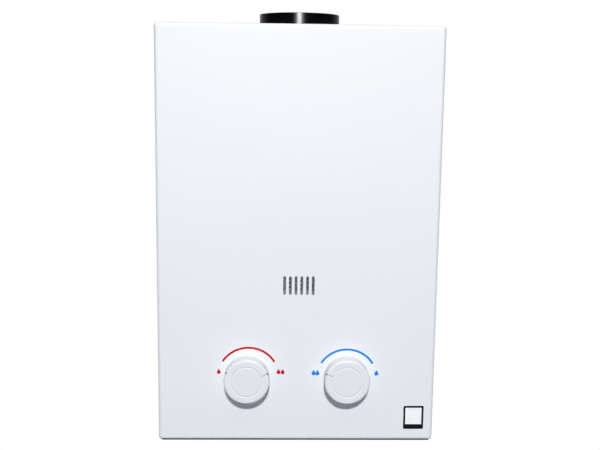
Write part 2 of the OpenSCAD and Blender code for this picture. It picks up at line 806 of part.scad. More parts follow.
// The bars' ends follow the inside of the frame, its round corners too
module burner_bars() color("lightsteelblue") intersection() {
    for (i = [0 : bar_n - 1]) translate([bar_place(i), 0, burner_z]) burner_bar();
    translate([0, -shell_off, burner_z - mixer_d]) linear_extrude(bar_h + 2 * mixer_d)
        round_rect(shell_w - 2 * shell_t, shell_d - 2 * shell_t, shell_r - shell_t);
}

injector_d = 6;
injector_root = manifold_d / 4;
injector_seat = manifold_d / 2 + 0.1;
injector_hex = 9;
injector_hex_h = 5;
injector_tip_r = 2.5;
injector_tip_l = 2.9;
injector_bore_r = 0.5;

module gas_manifold() color("silver") translate([0, manifold_y, burner_z]) {
    half = bar_place(bar_n - 1) + 11;
    lug_x = bar_place(bar_n - 1) - bar_pitch / 2;
    lug_half = 6;
    lug_rise = frame_rise + 14;
    difference() {
        union() {
            bar_x(manifold_d / 2, -half, half);
            for (s = [-1, 1]) translate([s * lug_x, 0, 0])
                block([-lug_half, -1, 0], [lug_half, shell_front - manifold_y, lug_rise]);
            translate([gas_pipe_x, 0, 0]) bar_z(pipe_r + 1.8, -manifold_d / 2 - 3, 0);
        }
        for (i = [0 : bar_n - 1]) translate([bar_place(i), 0, 0])
            bar_y(injector_d / 2 + 0.1, injector_root, manifold_d);
        translate([gas_pipe_x, 0, 0]) bar_z(socket_r, -manifold_d / 2 - 3 - over, 3 - manifold_d / 2);
    }
}

module gas_injectors() color("gold") for (i = [0 : bar_n - 1])
    translate([bar_place(i), manifold_y, burner_z]) difference() {
        union() {
            bar_y(injector_d / 2, injector_root, injector_seat);
            translate([0, injector_seat, 0]) rotate([-90, 0, 0])
                cylinder(d = injector_hex, h = injector_hex_h, $fn = 6);
            bar_y(injector_tip_r, injector_seat, injector_seat + injector_hex_h + injector_tip_l);
        }
        bar_y(injector_bore_r, injector_root + over, manifold_d);
    }

gas_bend_r = 9;
gas_pipe_x = gas_near - 11;
gas_pipe_z = (knob_z + gas_d / 2 + burner_z - mixer_d / 2) / 2;
gas_pipe_points = [
    [gas_pipe_x, valve_y, knob_z + gas_d / 2 + 3 - socket_d],
    [gas_pipe_x, valve_y, gas_pipe_z],
    [gas_pipe_x, manifold_y, gas_pipe_z],
    [gas_pipe_x, manifold_y, burner_z - manifold_d / 2 + 1]
];

module gas_pipe() color("peru") pipe(gas_pipe_points, pipe_d, pipe_bore, [gas_bend_r, gas_bend_r]);

// Linked water and gas valve, on one axis across the case

module valve_axis() translate([0, valve_y, knob_z]) children();

// Boss that carries a knob's spindle, and the bore in it
module spindle_boss() bar_y(boss_d / 2, -boss_l, 0);
module spindle_bore() bar_y(spindle_d / 2 + shaft_fit, -boss_l - over, 0);

// Pad at the back of a valve body, and the stand-off that carries it
module valve_pad() block([-8, 0, -8], [8, pad_back, 8]);

module diaphragm_screw_places() for (a = [0 : 60 : 300]) rotate([a, 0, 0])
    translate([0, 0, screw_ring_r]) children();

module water_valve_body() color("goldenrod") valve_axis() difference() {
    union() {
        bar_x(flange_d / 2, diaphragm_end, diaphragm_end + flange_t);
        bar_x(chamber_d / 2 + 2, diaphragm_end, diaphragm_end + chamber_h + 4);
        bar_x(water_d / 2, diaphragm_end, water_end);
        translate([cold_x, 0, 0]) bar_z(thread_r + 2, conn_top - knob_z, 0);
        translate([drain_x, 0, 0]) bar_z(drain_boss_r, drain_top - knob_z, 0);
        translate([knob_pitch / 2, 0, 0]) {
            spindle_boss();
            valve_pad();
        }
    }
    bar_x(chamber_d / 2, diaphragm_end - over, diaphragm_end + chamber_h);
    bar_x(socket_r, diaphragm_end, water_end + over);
    translate([cold_x, 0, 0]) bar_z(socket_r, conn_top - knob_z - over, 0);
    translate([drain_x, 0, 0]) bar_z(drain_bore_r, drain_top - knob_z - over, 0);
    translate([knob_pitch / 2, 0, 0]) spindle_bore();
    diaphragm_screw_places() bar_x(m4_hole_r, diaphragm_end - over, diaphragm_end + flange_t + over);
}

module diaphragm_cover() color("goldenrod") valve_axis() difference() {
    union() {
        bar_x(flange_d / 2, cover_near, diaphragm_x);
        bar_x(rod_d / 2 + 1.5, cover_near - gland_l, cover_near);
    }
    bar_x(chamber_d / 2, diaphragm_x - chamber_h, diaphragm_x + over);
    bar_x(rod_d / 2 + shaft_fit, cover_near - gland_l - over, diaphragm_x);
    diaphragm_screw_places() bar_x(m4_hole_r, cover_near - over, diaphragm_x + over);
}

plate_r = chamber_d / 2 - 5;

module diaphragm() color("black") valve_axis() difference() {
    bar_x(flange_d / 2, diaphragm_x, diaphragm_end);
    bar_x(plate_r + move_gap, diaphragm_x - over, diaphragm_end + over);
    diaphragm_screw_places() bar_x(m4_hole_r, diaphragm_x - over, diaphragm_end + over);
}

module diaphragm_plate() color("silver") valve_axis() difference() {
    bar_x(plate_r, diaphragm_x, diaphragm_end);
    bar_x(rod_d / 2, diaphragm_x - over, diaphragm_end + over);
}

module diaphragm_screws() color("silver") valve_axis() diaphragm_screw_places() {
    bar_x(m4_r, cover_near, diaphragm_end + flange_t);
    bar_x(m4_head_r, cover_near - m4_head_h, cover_near);
}

// Push rod with the collar that works the microswitch
module push_rod() color("silver") valve_axis() {
    bar_x(rod_d / 2, rod_end, diaphragm_end);
    bar_x(rod_collar_r, collar_x, collar_x + rod_collar_t);
}

module gas_plug() color("black") valve_axis() difference() {
    bar_x(plug_r, seat_x - move_gap - plug_t, seat_x - move_gap);
    bar_x(rod_d / 2, rod_end, seat_x);
}

// Return spring behind the gas plug: one wire wound in a helix, swept with six sides
spring_turns = 6;
spring_r = 6;
wire_r = 0.8;
spring_x0 = gas_end + socket_d + wire_r + 0.1;
spring_x1 = seat_x - move_gap - plug_t - wire_r - 0.1;
spring_steps = 8 * spring_turns;
spring_sides = 6;
function spring_dir(i) = let (a = 360 * spring_turns * i / spring_steps) [0, cos(a), sin(a)];
function spring_point(i) =
    [spring_x0 + (spring_x1 - spring_x0) * i / spring_steps, 0, 0] + spring_r * spring_dir(i);
spring_points = [
    for (i = [0 : spring_steps], k = [0 : spring_sides - 1]) let (a = 360 * k / spring_sides)
        spring_point(i) + wire_r * (cos(a) * spring_dir(i) + sin(a) * [1, 0, 0])
];
spring_faces = [
    [for (k = [0 : spring_sides - 1]) k],
    [for (k = [0 : spring_sides - 1]) spring_sides * (spring_steps + 1) - 1 - k],
    for (i = [0 : spring_steps - 1], k = [0 : spring_sides - 1]) let (
        a = i * spring_sides + k,
        b = i * spring_sides + (k + 1) % spring_sides
    ) each [[a, a + spring_sides, b], [b, a + spring_sides, b + spring_sides]]
];

module valve_spring() color("silver") valve_axis() polyhedron(spring_points, spring_faces);

module gas_valve_body() color("silver") valve_axis() difference() {
    union() {
        bar_x(gas_d / 2, gas_end, gas_near);
        translate([gas_x, 0, 0]) bar_z(thread_r + 2, conn_top - knob_z, 0);
        translate([gas_pipe_x, 0, 0]) bar_z(pipe_r + 3, 0, gas_d / 2 + 3);
        translate([-knob_pitch / 2, 0, 0]) {
            spindle_boss();
            valve_pad();
        }
    }
    bar_x(gas_room_r, gas_end - over, seat_x);
    bar_x(gas_port_r, seat_x - over, seat_x + gas_port_r);
    bar_x(gas_way_r, seat_x + 5, gas_near - gland_l + over);
    bar_x(rod_d / 2 + shaft_fit, gas_near - gland_l, gas_near + over);
    translate([gas_x, 0, 0]) bar_z(socket_r, conn_top - knob_z - over, 0);
    translate([gas_pipe_x, 0, 0]) bar_z(socket_r, 0, gas_d / 2 + 3 + over);
    translate([-knob_pitch / 2, 0, 0]) spindle_bore();
}

solenoid_cap_t = 4;
solenoid_l = 16;
solenoid_r = 11;

module solenoid_valve() color("dimgray") valve_axis() {
    bar_x(gas_room_r - pipe_fit, gas_end, gas_end + socket_d);
    bar_x(gas_d / 2, gas_end - solenoid_cap_t, gas_end);
    bar_x(solenoid_r, gas_end - solenoid_cap_t - solenoid_l, gas_end - solenoid_cap_t);
}

standoff_r = 6;
standoff_foot_r = 9;
standoff_foot_t = 1.5;

module valve_standoffs() color("silver") for (s = [-1, 1]) translate([s * knob_pitch / 2, 0, knob_z]) {
    bar_y(standoff_r, valve_y + pad_back, chassis_front);
    bar_y(standoff_foot_r, chassis_front - standoff_foot_t, chassis_front);
}

// Microswitch on a strip between the two halves of the valve
strip_y = 11;
switch_x = collar_x + 8;
switch_z = 6;
plunger_z = 8.3;
plunger_r = 1.2;

module switch_bracket() color("silver") valve_axis()
    block([gas_near, strip_y, switch_z], [cover_near, strip_y + 1.2, 14]);

module microswitch() color("darkslategray") valve_axis() difference() {
    block([switch_x, 0, switch_z], [cover_near - 3, strip_y, 20]);
    translate([0, strip_y / 2, plunger_z]) bar_x(plunger_r + shaft_fit, switch_x - over, cover_near - 5);
}

module switch_plunger() color("crimson") valve_axis() translate([0, strip_y / 2, plunger_z])
    bar_x(plunger_r, collar_x + rod_collar_t + move_gap, cover_near - 6);

// Knobs and spindles

// Children drawn with +Z as the way out of the panel, at a knob's axis on the panel
module on_panel(side) translate([side * knob_pitch / 2, front_y, knob_z]) rotate([90, 0, 0]) children();

// Outline of a spindle with its flat
module flatted(r, h) intersection() {
    circle(r);
    translate([-r - over, -r - over]) square([2 * (r + over), h + r + over]);
}

notch_turn = 132.5;
rib_t = 1.5;
flat_z = knob_gap - 1;
spindle_tip = knob_gap + knob_h - knob_face_t - 0.5;

// Spindle from its bore in the valve to the knob's hub, with a shoulder in front of the boss
module spindle(side, back) color("silver") on_panel(side) {
    bar_z(spindle_d / 2, back, flat_z);
    translate([0, 0, flat_z]) linear_extrude(spindle_tip - flat_z) flatted(spindle_d / 2, flat_h);
    boss_front = boss_l - (case_d - valve_off);
    bar_z(spindle_d / 2 + 2, boss_front + move_gap, boss_front + move_gap + 2);
}

module water_spindle() spindle(1, spindle_back - (case_d - valve_off));

module gas_spindle() spindle(-1, gas_room_r + 1 - (case_d - valve_off));

// Section of an engraved line, as wide and as deep as it is given at the surface
module vee(w, d) polygon([[0, -d], [w, d], [-w, d]]);

// Moulded shell with a hub and ribs inside, a ring and a pointer line engraved in its face,
// and two notches in its rim, one of them at the pointer's end
module knob(side) color("ivory") on_panel(side) translate([0, 0, knob_gap]) {
    r = knob_d / 2;
    inside = knob_h - knob_face_t;
    rooted = inside + knob_face_t / 4;
    angle = side < 0 ? pointer_deg : 180 - pointer_deg;
    difference() {
        union() {
            rotate_extrude() difference() {
                union() {
                    square([r, knob_h - knob_edge_r]);
                    square([r - knob_edge_r, knob_h]);
                    translate([r - knob_edge_r, knob_h - knob_edge_r]) circle(knob_edge_r);
                }
                translate([0, -over]) square([r - knob_t, inside + over]);
            }
            bar_z(hub_d / 2, 0, rooted);
            for (a = [0 : 60 : 300]) rotate([0, 0, a])
                block([hub_d / 2 - 1, -rib_t / 2, 3], [r - knob_t / 2, rib_t / 2, rooted]);
        }
        translate([0, 0, -over]) linear_extrude(inside + over)
            flatted(spindle_d / 2 + shaft_fit, flat_h + shaft_fit);
        rotate_extrude() translate([ring_d / 2, knob_h]) vee(groove_w, groove_depth);
        rotate([0, 0, angle]) {
            translate([ring_d / 2, 0, knob_h]) rotate([90, 0, 90]) linear_extrude(r)
                vee(pointer_w, pointer_depth);
            translate([r, 0, knob_h / 4]) rotate([0, 0, -90]) linear_extrude(knob_h)
                vee(pointer_w, pointer_depth);
        }
        for (a = [angle, angle + notch_turn]) rotate([0, 0, a])
            translate([r, 0, 0]) bar_z(notch_r, knob_h - notch_l, knob_h + over);
    }
}

module gas_knob() knob(-1);

module water_knob() knob(1);

// Connectors through the bottom plate

// Threaded connector with a hexagon above the plate, an undercut below the nut and a bore
module connector(x) color("goldenrod") translate([x, valve_y, 0]) difference() {
    union() {
        bar_z(thread_r, -conn_drop, conn_top);
        hex_z(hex_af, shelf_top, shelf_top + hex_h);
    }
    bar_z(socket_r, -conn_drop - over, conn_top + over);
    undercut_z = shelf_z - nut_h - washer_t - undercut;
    rotate_extrude() translate([thread_r - undercut / 2, undercut_z]) square([undercut, undercut]);
}

module gas_inlet() connector(gas_x);

module cold_inlet() connector(cold_x);

module hot_outlet() connector(hot_x);

module connector_places() for (x = [gas_x, cold_x, hot_x]) translate([x, valve_y, 0]) children();

module lock_nuts() color("goldenrod") connector_places() difference() {
    hex_z(hex_af, shelf_z - washer_t - nut_h, shelf_z - washer_t);
    bar_z(thread_r + pipe_fit, shelf_z - washer_t - nut_h - over, shelf_z);
}

module inlet_washers() color("firebrick") connector_places() difference() {
    bar_z(hex_af / 2, shelf_z - washer_t, shelf_z);
    bar_z(thread_r + pipe_fit, shelf_z - washer_t - over, shelf_z + over);
}

module drain_plug() color("black") translate([drain_x, valve_y, 0]) {
    bar_z(drain_stem_r, drain_cap_top, drain_top);
    difference() {
        bar_z(drain_d / 2, drain_cap_foot, drain_cap_top);
        for (a = [0 : 20 : 340]) rotate([0, 0, a]) translate([drain_d / 2 + 0.4, 0, 0])
            bar_z(1, drain_cap_foot - over, drain_cap_top - 2);
    }
}

// Nut that draws the water coil into the valve
module union_nut() color("goldenrod") valve_axis() difference() {
    translate([water_end, 0, 0]) rotate([0, 90, 0]) hex_z(union_af, 0, union_h);
    bar_x(socket_r, water_end - over, water_end + union_h + over);
}

// Battery box

module battery_box() color("dimgray") difference() {
    union() {
        block([-box_w / 2, box_front, box_foot], [box_w / 2, box_back, box_top]);
        block([-box_w / 2 - 3, box_front, shelf_top], [box_w / 2 + 3, box_back, shelf_top + box_t]);
        for (s = [-1, 1]) hinge_lug(s);
    }
    block(
        [box_t - box_w / 2, box_front + box_t, box_foot - over],
        [box_w / 2 - box_t, box_back - box_t, box_top - box_t]
    );
    translate([0, hinge_y, hinge_z]) bar_x(pin_d / 2 + 0.02, -box_w, box_w);
}

// Lug on the box's back wall that carries one end of the hinge pin
module hinge_lug(s) {
    near = barrel_half + move_gap;
    translate([s > 0 ? near : -near - lug_w, 0, 0]) thick_x(0, lug_w) {
        translate([hinge_y, hinge_z]) circle(d = barrel_d);
        translate([hinge_y - barrel_d / 2, hinge_z]) square([barrel_d, box_foot - hinge_z + lug_w]);
        translate([box_back - box_t / 2, box_foot]) square([hinge_y - box_back + box_t / 2, lug_w]);
    }
}

module battery_lid() color("gray") {
    half = box_w / 2 + 1.5;
    lid_front = box_front - 1.5;
    lid_back = hinge_y - barrel_d / 2 - move_gap;
    difference() {
        union() {
            translate([0, (lid_front + lid_back) / 2, lid_top - lid_t]) linear_extrude(lid_t)
                round_rect(2 * half, lid_back - lid_front, 3);
            block([-barrel_half, lid_back - 3, lid_top - lid_t], [barrel_half, hinge_y, lid_top]);
            translate([0, hinge_y, hinge_z]) bar_x(barrel_d / 2, -barrel_half, barrel_half);
        }
        translate([0, hinge_y, hinge_z]) bar_x(pin_d / 2 + shaft_fit, -box_w, box_w);
        translate([0, lid_front, lid_top - lid_t]) bar_x(1.2, -9, 9);
        for (i = [0 : 3]) translate([0, lid_front + 5 + 2.5 * i, lid_top - lid_t]) bar_x(0.5, -9, 9);
    }
}

module lid_hinge_pin() color("silver") translate([0, hinge_y, hinge_z])
    bar_x(pin_d / 2, -barrel_half - lug_w, barrel_half + lug_w);

// Two D cells, one each way up
module d_cell() rotate_extrude() {
    nub_r = 4.75;
    nub_h = 1.5;
    square([cell_d / 2, cell_l - nub_h - 1]);
    square([cell_d / 2 - 1, cell_l - nub_h]);
    square([nub_r, cell_l]);
}

module d_cells() color("steelblue") {
    translate([-cell_x, cell_y, cell_z]) d_cell();
    translate([cell_x, cell_y, cell_z + cell_l]) rotate([180, 0, 0]) d_cell();
}

contact_r = 5;
contact_plate_r = 14;
contact_t = 0.6;

module battery_contacts() color("silver") for (s = [-1, 1])
    translate([s * cell_x, cell_y, cell_z + cell_l]) rotate_extrude() {
        square([contact_r, contact_h]);
        translate([0, contact_h - contact_t]) square([contact_plate_r, contact_t]);
    }

// Ignition

module igniter_box() color("darkslategray") {
    y0 = chassis_front - igniter_d;
    translate([igniter_x + igniter_w / 2, 0, igniter_z + igniter_h / 2]) {
        thick_y(y0 + 4, chassis_front) round_rect(igniter_w, igniter_h, 3);
        thick_y(y0, y0 + 3.2) round_rect(igniter_w, igniter_h, 3);
        thick_y(y0 + 3.2, y0 + 4) round_rect(igniter_w - 1, igniter_h - 1, 2.5);
    }
}

// Electrode: glazed ceramic through the frame's front, with its rod over a burner bar
ceramic_out = 12;
ceramic_in = 4;
ceramic_ring_w = 1.5;
ceramic_ring_l = 2.5;
electrode_reach = 32;

module electrode(x) translate([x, 0, electrode_z]) {
    bar_y(ceramic_d / 2, shell_front - ceramic_out, shell_front + ceramic_in);
    bar_y(ceramic_d / 2 + ceramic_ring_w, shell_front - ceramic_ring_l, shell_front);
    bar_y(electrode_d / 2, terminal_y, shell_front + electrode_reach);
}

module spark_electrode() color("white") electrode(electrode_x);

module flame_sensor() color("white") electrode(-electrode_x);

// Leads run down the left side and across in front of the burner
lead_z = burner_z + manifold_d / 2 + 14;
lead_end_z = electrode_z - electrode_d / 2;
spark_y = inner_front + 3.4;
sensor_y = spark_y + 4;
lead_x = igniter_x + lead_d;
spark_exit = igniter_z + igniter_h / 2;
sensor_exit = igniter_z + igniter_h / 4;
lead_bends = [5, 5, 5];

module ignition_lead() color("red") pipe([
    [lead_x, chassis_front - igniter_d, spark_exit],
    [lead_x, spark_y, spark_exit],
    [lead_x, spark_y, lead_z],
    [electrode_x, spark_y, lead_z],
    [electrode_x, spark_y, lead_end_z]
], lead_d, 0, lead_bends);

module sensor_lead() color("white") pipe([
    [lead_x, chassis_front - igniter_d, sensor_exit],
    [lead_x, sensor_y, sensor_exit],
    [lead_x, sensor_y, lead_z - 7],
    [-electrode_x, sensor_y, lead_z - 7],
    [-electrode_x, sensor_y, lead_end_z]
], lead_d, 0, lead_bends);

battery_lead_z = box_top + 26;

module battery_lead() color("black") pipe([
    [-cell_x, box_back - 9, box_top],
    [-cell_x, box_back - 9, battery_lead_z],
    [lead_x, box_back - 9, battery_lead_z],
    [lead_x, chassis_front - igniter_d / 2, battery_lead_z],
    [lead_x, chassis_front - igniter_d / 2, igniter_z]
], lead_d, 0, lead_bends);

// Diamond holes in rows about the origin, nx across and nz up
module gauze_holes(nx, nz) for (i = [0 : nx - 1], k = [0 : nz - 1])
    translate([i - (nx - 1) / 2, k - (nz - 1) / 2] * gauze_pitch) rotate(45)
        square(gauze_pitch / sqrt(2) - gauze_strand, center = true);

// Gauze behind the viewing slots, its strands on the diagonal
module viewing_gauze() color("dimgray") {
    w = (slot_n - 1) * slot_pitch + slot_w + 2 * gauze_border;
    h = slot_l + 2 * gauze_border;
    hem = 2;
    nx = floor((w - 2 * hem) / gauze_pitch);
    nz = floor((h - 2 * hem) / gauze_pitch);
    translate([slot_x, 0, slot_z]) thick_y(inner_front, inner_front + gauze_t) difference() {
        square([w, h], center = true);
        gauze_holes(nx, nz);
        gauze_holes(nx - 1, nz - 1);
    }
}

// Everything is drawn from the bottom of the case and hung from the hole in the wall
module hung() translate([0, 0, -hang_z]) children();

hung() back_plate();
hung() front_cover();
hung() bottom_plate();
hung() flue_collar();
hung() flue_hood();
hung() exchanger_shell();
hung() exchanger_fins();
hung() exchanger_tubes();
hung() water_coil();
hung() hot_pipe();
hung() exchanger_brackets();
hung() burner_frame();
hung() burner_bars();
hung() gas_manifold();
hung() gas_injectors();
hung() gas_pipe();
hung() gas_valve_body();
hung() solenoid_valve();
hung() gas_plug();
hung() valve_spring();
hung() push_rod();
hung() diaphragm_plate();
hung() diaphragm();
hung() diaphragm_cover();
hung() water_valve_body();
hung() diaphragm_screws();
hung() valve_standoffs();
hung() switch_bracket();
hung() microswitch();
hung() switch_plunger();
hung() gas_spindle();
hung() water_spindle();
hung() gas_knob();
hung() water_knob();
hung() gas_inlet();
hung() cold_inlet();
hung() hot_outlet();
hung() lock_nuts();
hung() inlet_washers();
hung() drain_plug();
hung() battery_box();
hung() battery_lid();
hung() lid_hinge_pin();
hung() d_cells();
hung() battery_contacts();
hung() igniter_box();
hung() spark_electrode();
hung() flame_sensor();
hung() ignition_lead();
hung() sensor_lead();
hung() battery_lead();
hung() thermostat();
hung() viewing_gauze();
hung() cover_screws();
hung() collar_screws();
hung() shelf_screws();
hung() union_nut();
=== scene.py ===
# %% [markdown]
# A wall-hung gas water heater.
# The imported model already holds every rigid piece at its real size. This file gives those pieces their
# finishes and adds what comes last in the making: the printed arcs and drops, the blank sticker, the
# woven gauze, the pipe threads, the cross-head screws and the wire of the valve spring. It also adds
# painted shade: dark ink in the knobs' notches and pointer groove, and a dark rubber strip under the
# cover's lower edge. Lengths are in metres, +Z is up, the wall is the plane y = 0 and the front panel
# faces -Y. Heights on the front are counted from the foot of the case, HANG_Z below the origin.

# %% Load the frame
import json
import math

import bmesh
import bpy
import numpy as np
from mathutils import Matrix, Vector


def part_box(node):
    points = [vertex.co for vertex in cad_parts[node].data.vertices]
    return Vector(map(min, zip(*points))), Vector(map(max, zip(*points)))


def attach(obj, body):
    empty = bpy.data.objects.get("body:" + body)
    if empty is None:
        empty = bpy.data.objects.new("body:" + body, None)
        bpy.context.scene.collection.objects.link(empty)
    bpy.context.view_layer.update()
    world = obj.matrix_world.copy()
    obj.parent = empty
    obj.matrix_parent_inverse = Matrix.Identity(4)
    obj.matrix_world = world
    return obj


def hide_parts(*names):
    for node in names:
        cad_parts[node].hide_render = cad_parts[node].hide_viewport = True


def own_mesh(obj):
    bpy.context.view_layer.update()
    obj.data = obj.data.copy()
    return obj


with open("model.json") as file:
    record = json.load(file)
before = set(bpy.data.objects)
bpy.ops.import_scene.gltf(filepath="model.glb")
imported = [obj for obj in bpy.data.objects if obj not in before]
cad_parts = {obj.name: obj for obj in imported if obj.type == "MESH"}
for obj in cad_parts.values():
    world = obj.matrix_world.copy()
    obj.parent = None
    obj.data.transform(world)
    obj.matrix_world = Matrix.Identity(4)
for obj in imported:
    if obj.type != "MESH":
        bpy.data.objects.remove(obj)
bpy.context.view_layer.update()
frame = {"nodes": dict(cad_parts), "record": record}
MM = 0.001
MICRON = 0.000001
HANG_Z = 415 * MM
FRONT_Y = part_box("front_cover")[0].y
print("front panel at y =", round(FRONT_Y, 4), "with", len(frame["nodes"]), "nodes")


# %% [markdown]
# The camera stands a little left of the heater and above its middle, about a metre off, and looks
# slightly down. It could be placed by eye. Here its place and angles come from fitting the four corners
# of the cover and the rim of the flue collar, so the picture's middle is the lens's axis and no shift is
# needed.

# %% Camera
CAMERA_PLACE = (-0.0258, -1.0389, -0.0322)
CAMERA_ANGLES = (80.875, -0.726, -1.591)
FOCAL_PIXELS = 894.8
PICTURE_WIDTH = 600
SENSOR = 36.0
NEAR_CLIP = 0.01

camera_data = bpy.data.cameras.new("camera")
camera_data.sensor_width = SENSOR
camera_data.lens = FOCAL_PIXELS / PICTURE_WIDTH * SENSOR
camera_data.clip_start = NEAR_CLIP
camera = bpy.data.objects.new("camera", camera_data)
camera.location = CAMERA_PLACE
camera.rotation_euler = [math.radians(a) for a in CAMERA_ANGLES]
bpy.context.scene.collection.objects.link(camera)
bpy.context.scene.camera = camera
bpy.context.scene.view_settings.view_transform = "Standard"
print("lens", round(camera_data.lens, 2), "mm")


# %% [markdown]
# Product pictures of white goods are lit from the front and above, with a white sweep behind. The key
# lamp is small and far off, so it throws a crisp shadow under each knob and fades little from the top of
# the panel to its foot. A sun lamp would do the same, but an area lamp also has a size to show in the
# gloss. A small warm box over the front brightens the upper panel. Two cool boxes behind the camera fill
# the shadows: the narrow one draws the bright stripe on the black collar, and the wide one softens its
# sides. A dim box on each side, behind the panel's plane, shows the cover's sides and leaves the front
# as it is.

# %% Lamps
WHITE_LIGHT, WARM_LIGHT = (1.0, 1.0, 1.0), (1.0, 0.79, 0.48)
COOL_LIGHT, BLUER_LIGHT, SIDE_LIGHT = (0.92, 0.97, 1.0), (0.86, 0.92, 1.0), (0.95, 0.97, 1.0)
MIDDLE = (0.0, -0.12, -0.2)


def soft_box(name, spot, target, size, watts, tone):
    """A rectangular lamp at a spot, its face turned to target, size in metres across and up."""
    data = bpy.data.lights.new(name, "AREA")
    data.shape = "RECTANGLE"
    data.size, data.size_y = size
    data.energy = watts
    data.color = tone
    lamp = bpy.data.objects.new(name, data)
    lamp.location = spot
    lamp.rotation_euler = (Vector(target) - Vector(spot)).to_track_quat("-Z", "Y").to_euler()
    bpy.context.scene.collection.objects.link(lamp)


soft_box("key_lamp", (0.0, -6.0, 4.0), MIDDLE, (0.45, 0.45), 472.0, WHITE_LIGHT)
soft_box("top_box", (0.0, -0.4, 0.3), (0.0, -0.2, -0.3), (0.6, 0.2), 0.47, WARM_LIGHT)
soft_box("fill_box", (-0.05, -1.75, 0.15), MIDDLE, (0.32, 0.13), 4.0, COOL_LIGHT)
soft_box("wide_box", (-0.05, -1.8, 0.15), MIDDLE, (0.8, 0.16), 1.3, BLUER_LIGHT)
for side, name in ((-1, "left_box"), (1, "right_box")):
    spot = (1.6 * side, 0.25, -0.6)
    target = (0.15 * side, -0.06, -0.2)
    soft_box(name, spot, target, (0.5, 0.5), 2.2, SIDE_LIGHT)


# %% [markdown]
# World, floor and finishes are trees of shader nodes. They could be drawn by hand in the shader editor.
# A script makes the same tree each time, and these helpers keep it short: they wire two sockets, do a
# sum, turn one span of values into another, make a plain shader and mix two shaders.

# %% Helpers for node trees
def link(tree, out_socket, in_socket):
    """One wire between two sockets."""
    tree.links.new(out_socket, in_socket)


def sum_node(tree, operation, first, second):
    """A math node with two inputs, each a number or a socket."""
    node = tree.nodes.new("ShaderNodeMath")
    node.operation = operation
    for socket, value in zip(node.inputs, (first, second)):
        if isinstance(value, (int, float)):
            socket.default_value = value
        else:
            link(tree, value, socket)
    return node.outputs[0]


def ramp(tree, value, span, ends=(0.0, 1.0)):
    """The first end below the span, the second end above it, and an even rise between."""
    node = tree.nodes.new("ShaderNodeMapRange")
    for socket, number in zip(("From Min", "From Max", "To Min", "To Max"), (*span, *ends)):
        node.inputs[socket].default_value = number
    link(tree, value, node.inputs["Value"])
    return node.outputs[0]


def plain_shader(tree, kind, colour):
    """A background, a diffuse surface or a glow in one plain colour."""
    node = tree.nodes.new("ShaderNode" + kind)
    node.inputs["Color"].default_value = (*colour, 1.0)
    return node


def mixed(tree, share, first, second):
    """The first shader where share is 0, the second where it is 1."""
    node = tree.nodes.new("ShaderNodeMixShader")
    link(tree, share, node.inputs["Fac"])
    link(tree, first.outputs[0], node.inputs[1])
    link(tree, second.outputs[0], node.inputs[2])
    return node


def shown_white(tree, sight):
    """1 for what the camera sees, and sight, a number from 0 to 1, for mirrored and refracted rays."""
    path = tree.nodes.new("ShaderNodeLightPath")
    mirrored = sum_node(tree, "MAXIMUM", path.outputs["Is Glossy Ray"], path.outputs["Is Transmission Ray"])
    mirrored = sum_node(tree, "MULTIPLY", mirrored, sight)
    return sum_node(tree, "MAXIMUM", path.outputs["Is Camera Ray"], mirrored)


# %% [markdown]
# The world is the white sweep. To the camera it is plain white. The light from it is brightest straight
# behind the heater, a shade blue, and falls off as a power of the direction's y, down to a dim front, as
# in a studio whose walls are dark. Mirrored and refracted rays that head back to the sweep see it white
# as the camera does. A plain white world would be simpler, but it would light the heater from all round.
# This way the black collar stays black and only its flanks pick up a grey band.

# %% World
BACKDROP, FALL_OFF, DIM_FRONT = 0.72, 2.2, 0.02
SWEEP_EDGE = (0.88, 1.0)
STUDIO_TONE, PURE_WHITE = (0.83, 0.8, 1.0), (1.0, 1.0, 1.0)

world = bpy.data.worlds.new("sweep")
world.use_nodes = True
bpy.context.scene.world = world
tree = world.node_tree
tree.nodes.clear()
where = tree.nodes.new("ShaderNodeTexCoord")
split = tree.nodes.new("ShaderNodeSeparateXYZ")
link(tree, where.outputs["Generated"], split.inputs[0])
behind = sum_node(tree, "MAXIMUM", split.outputs["Y"], 0.0)
strength = sum_node(tree, "MULTIPLY", sum_node(tree, "POWER", behind, FALL_OFF), BACKDROP)
studio = plain_shader(tree, "Background", STUDIO_TONE)
link(tree, sum_node(tree, "ADD", strength, DIM_FRONT), studio.inputs["Strength"])
white = plain_shader(tree, "Background", PURE_WHITE)
sight = ramp(tree, split.outputs["Y"], SWEEP_EDGE)
sweep = mixed(tree, shown_white(tree, sight), studio, white)
world_out = tree.nodes.new("ShaderNodeOutputWorld")
link(tree, sweep.outputs[0], world_out.inputs["Surface"])
print("world of", len(tree.nodes), "nodes")


# %% [markdown]
# The heater hangs at the height of a person's chest, so the floor is well below it. It is pale and
# plain, and far off it is as white to the camera as the sweep it runs into. Near the heater it is a lit
# surface in part, which keeps the heater's shadow. A white plane would do for that, but it would throw
# light back up. This one is dark to most rays but the camera's, so the lower edge of the cover stays
# dark.

# %% Floor
FLOOR_Z, FLOOR_HALF = -1.9, 12.0
SHADOW_REACH = (1.8, 3.2)
LIT_SHARE = 0.2
DARK_FLOOR, PALE_FLOOR = (0.12, 0.14, 0.17), (0.86, 0.86, 0.86)

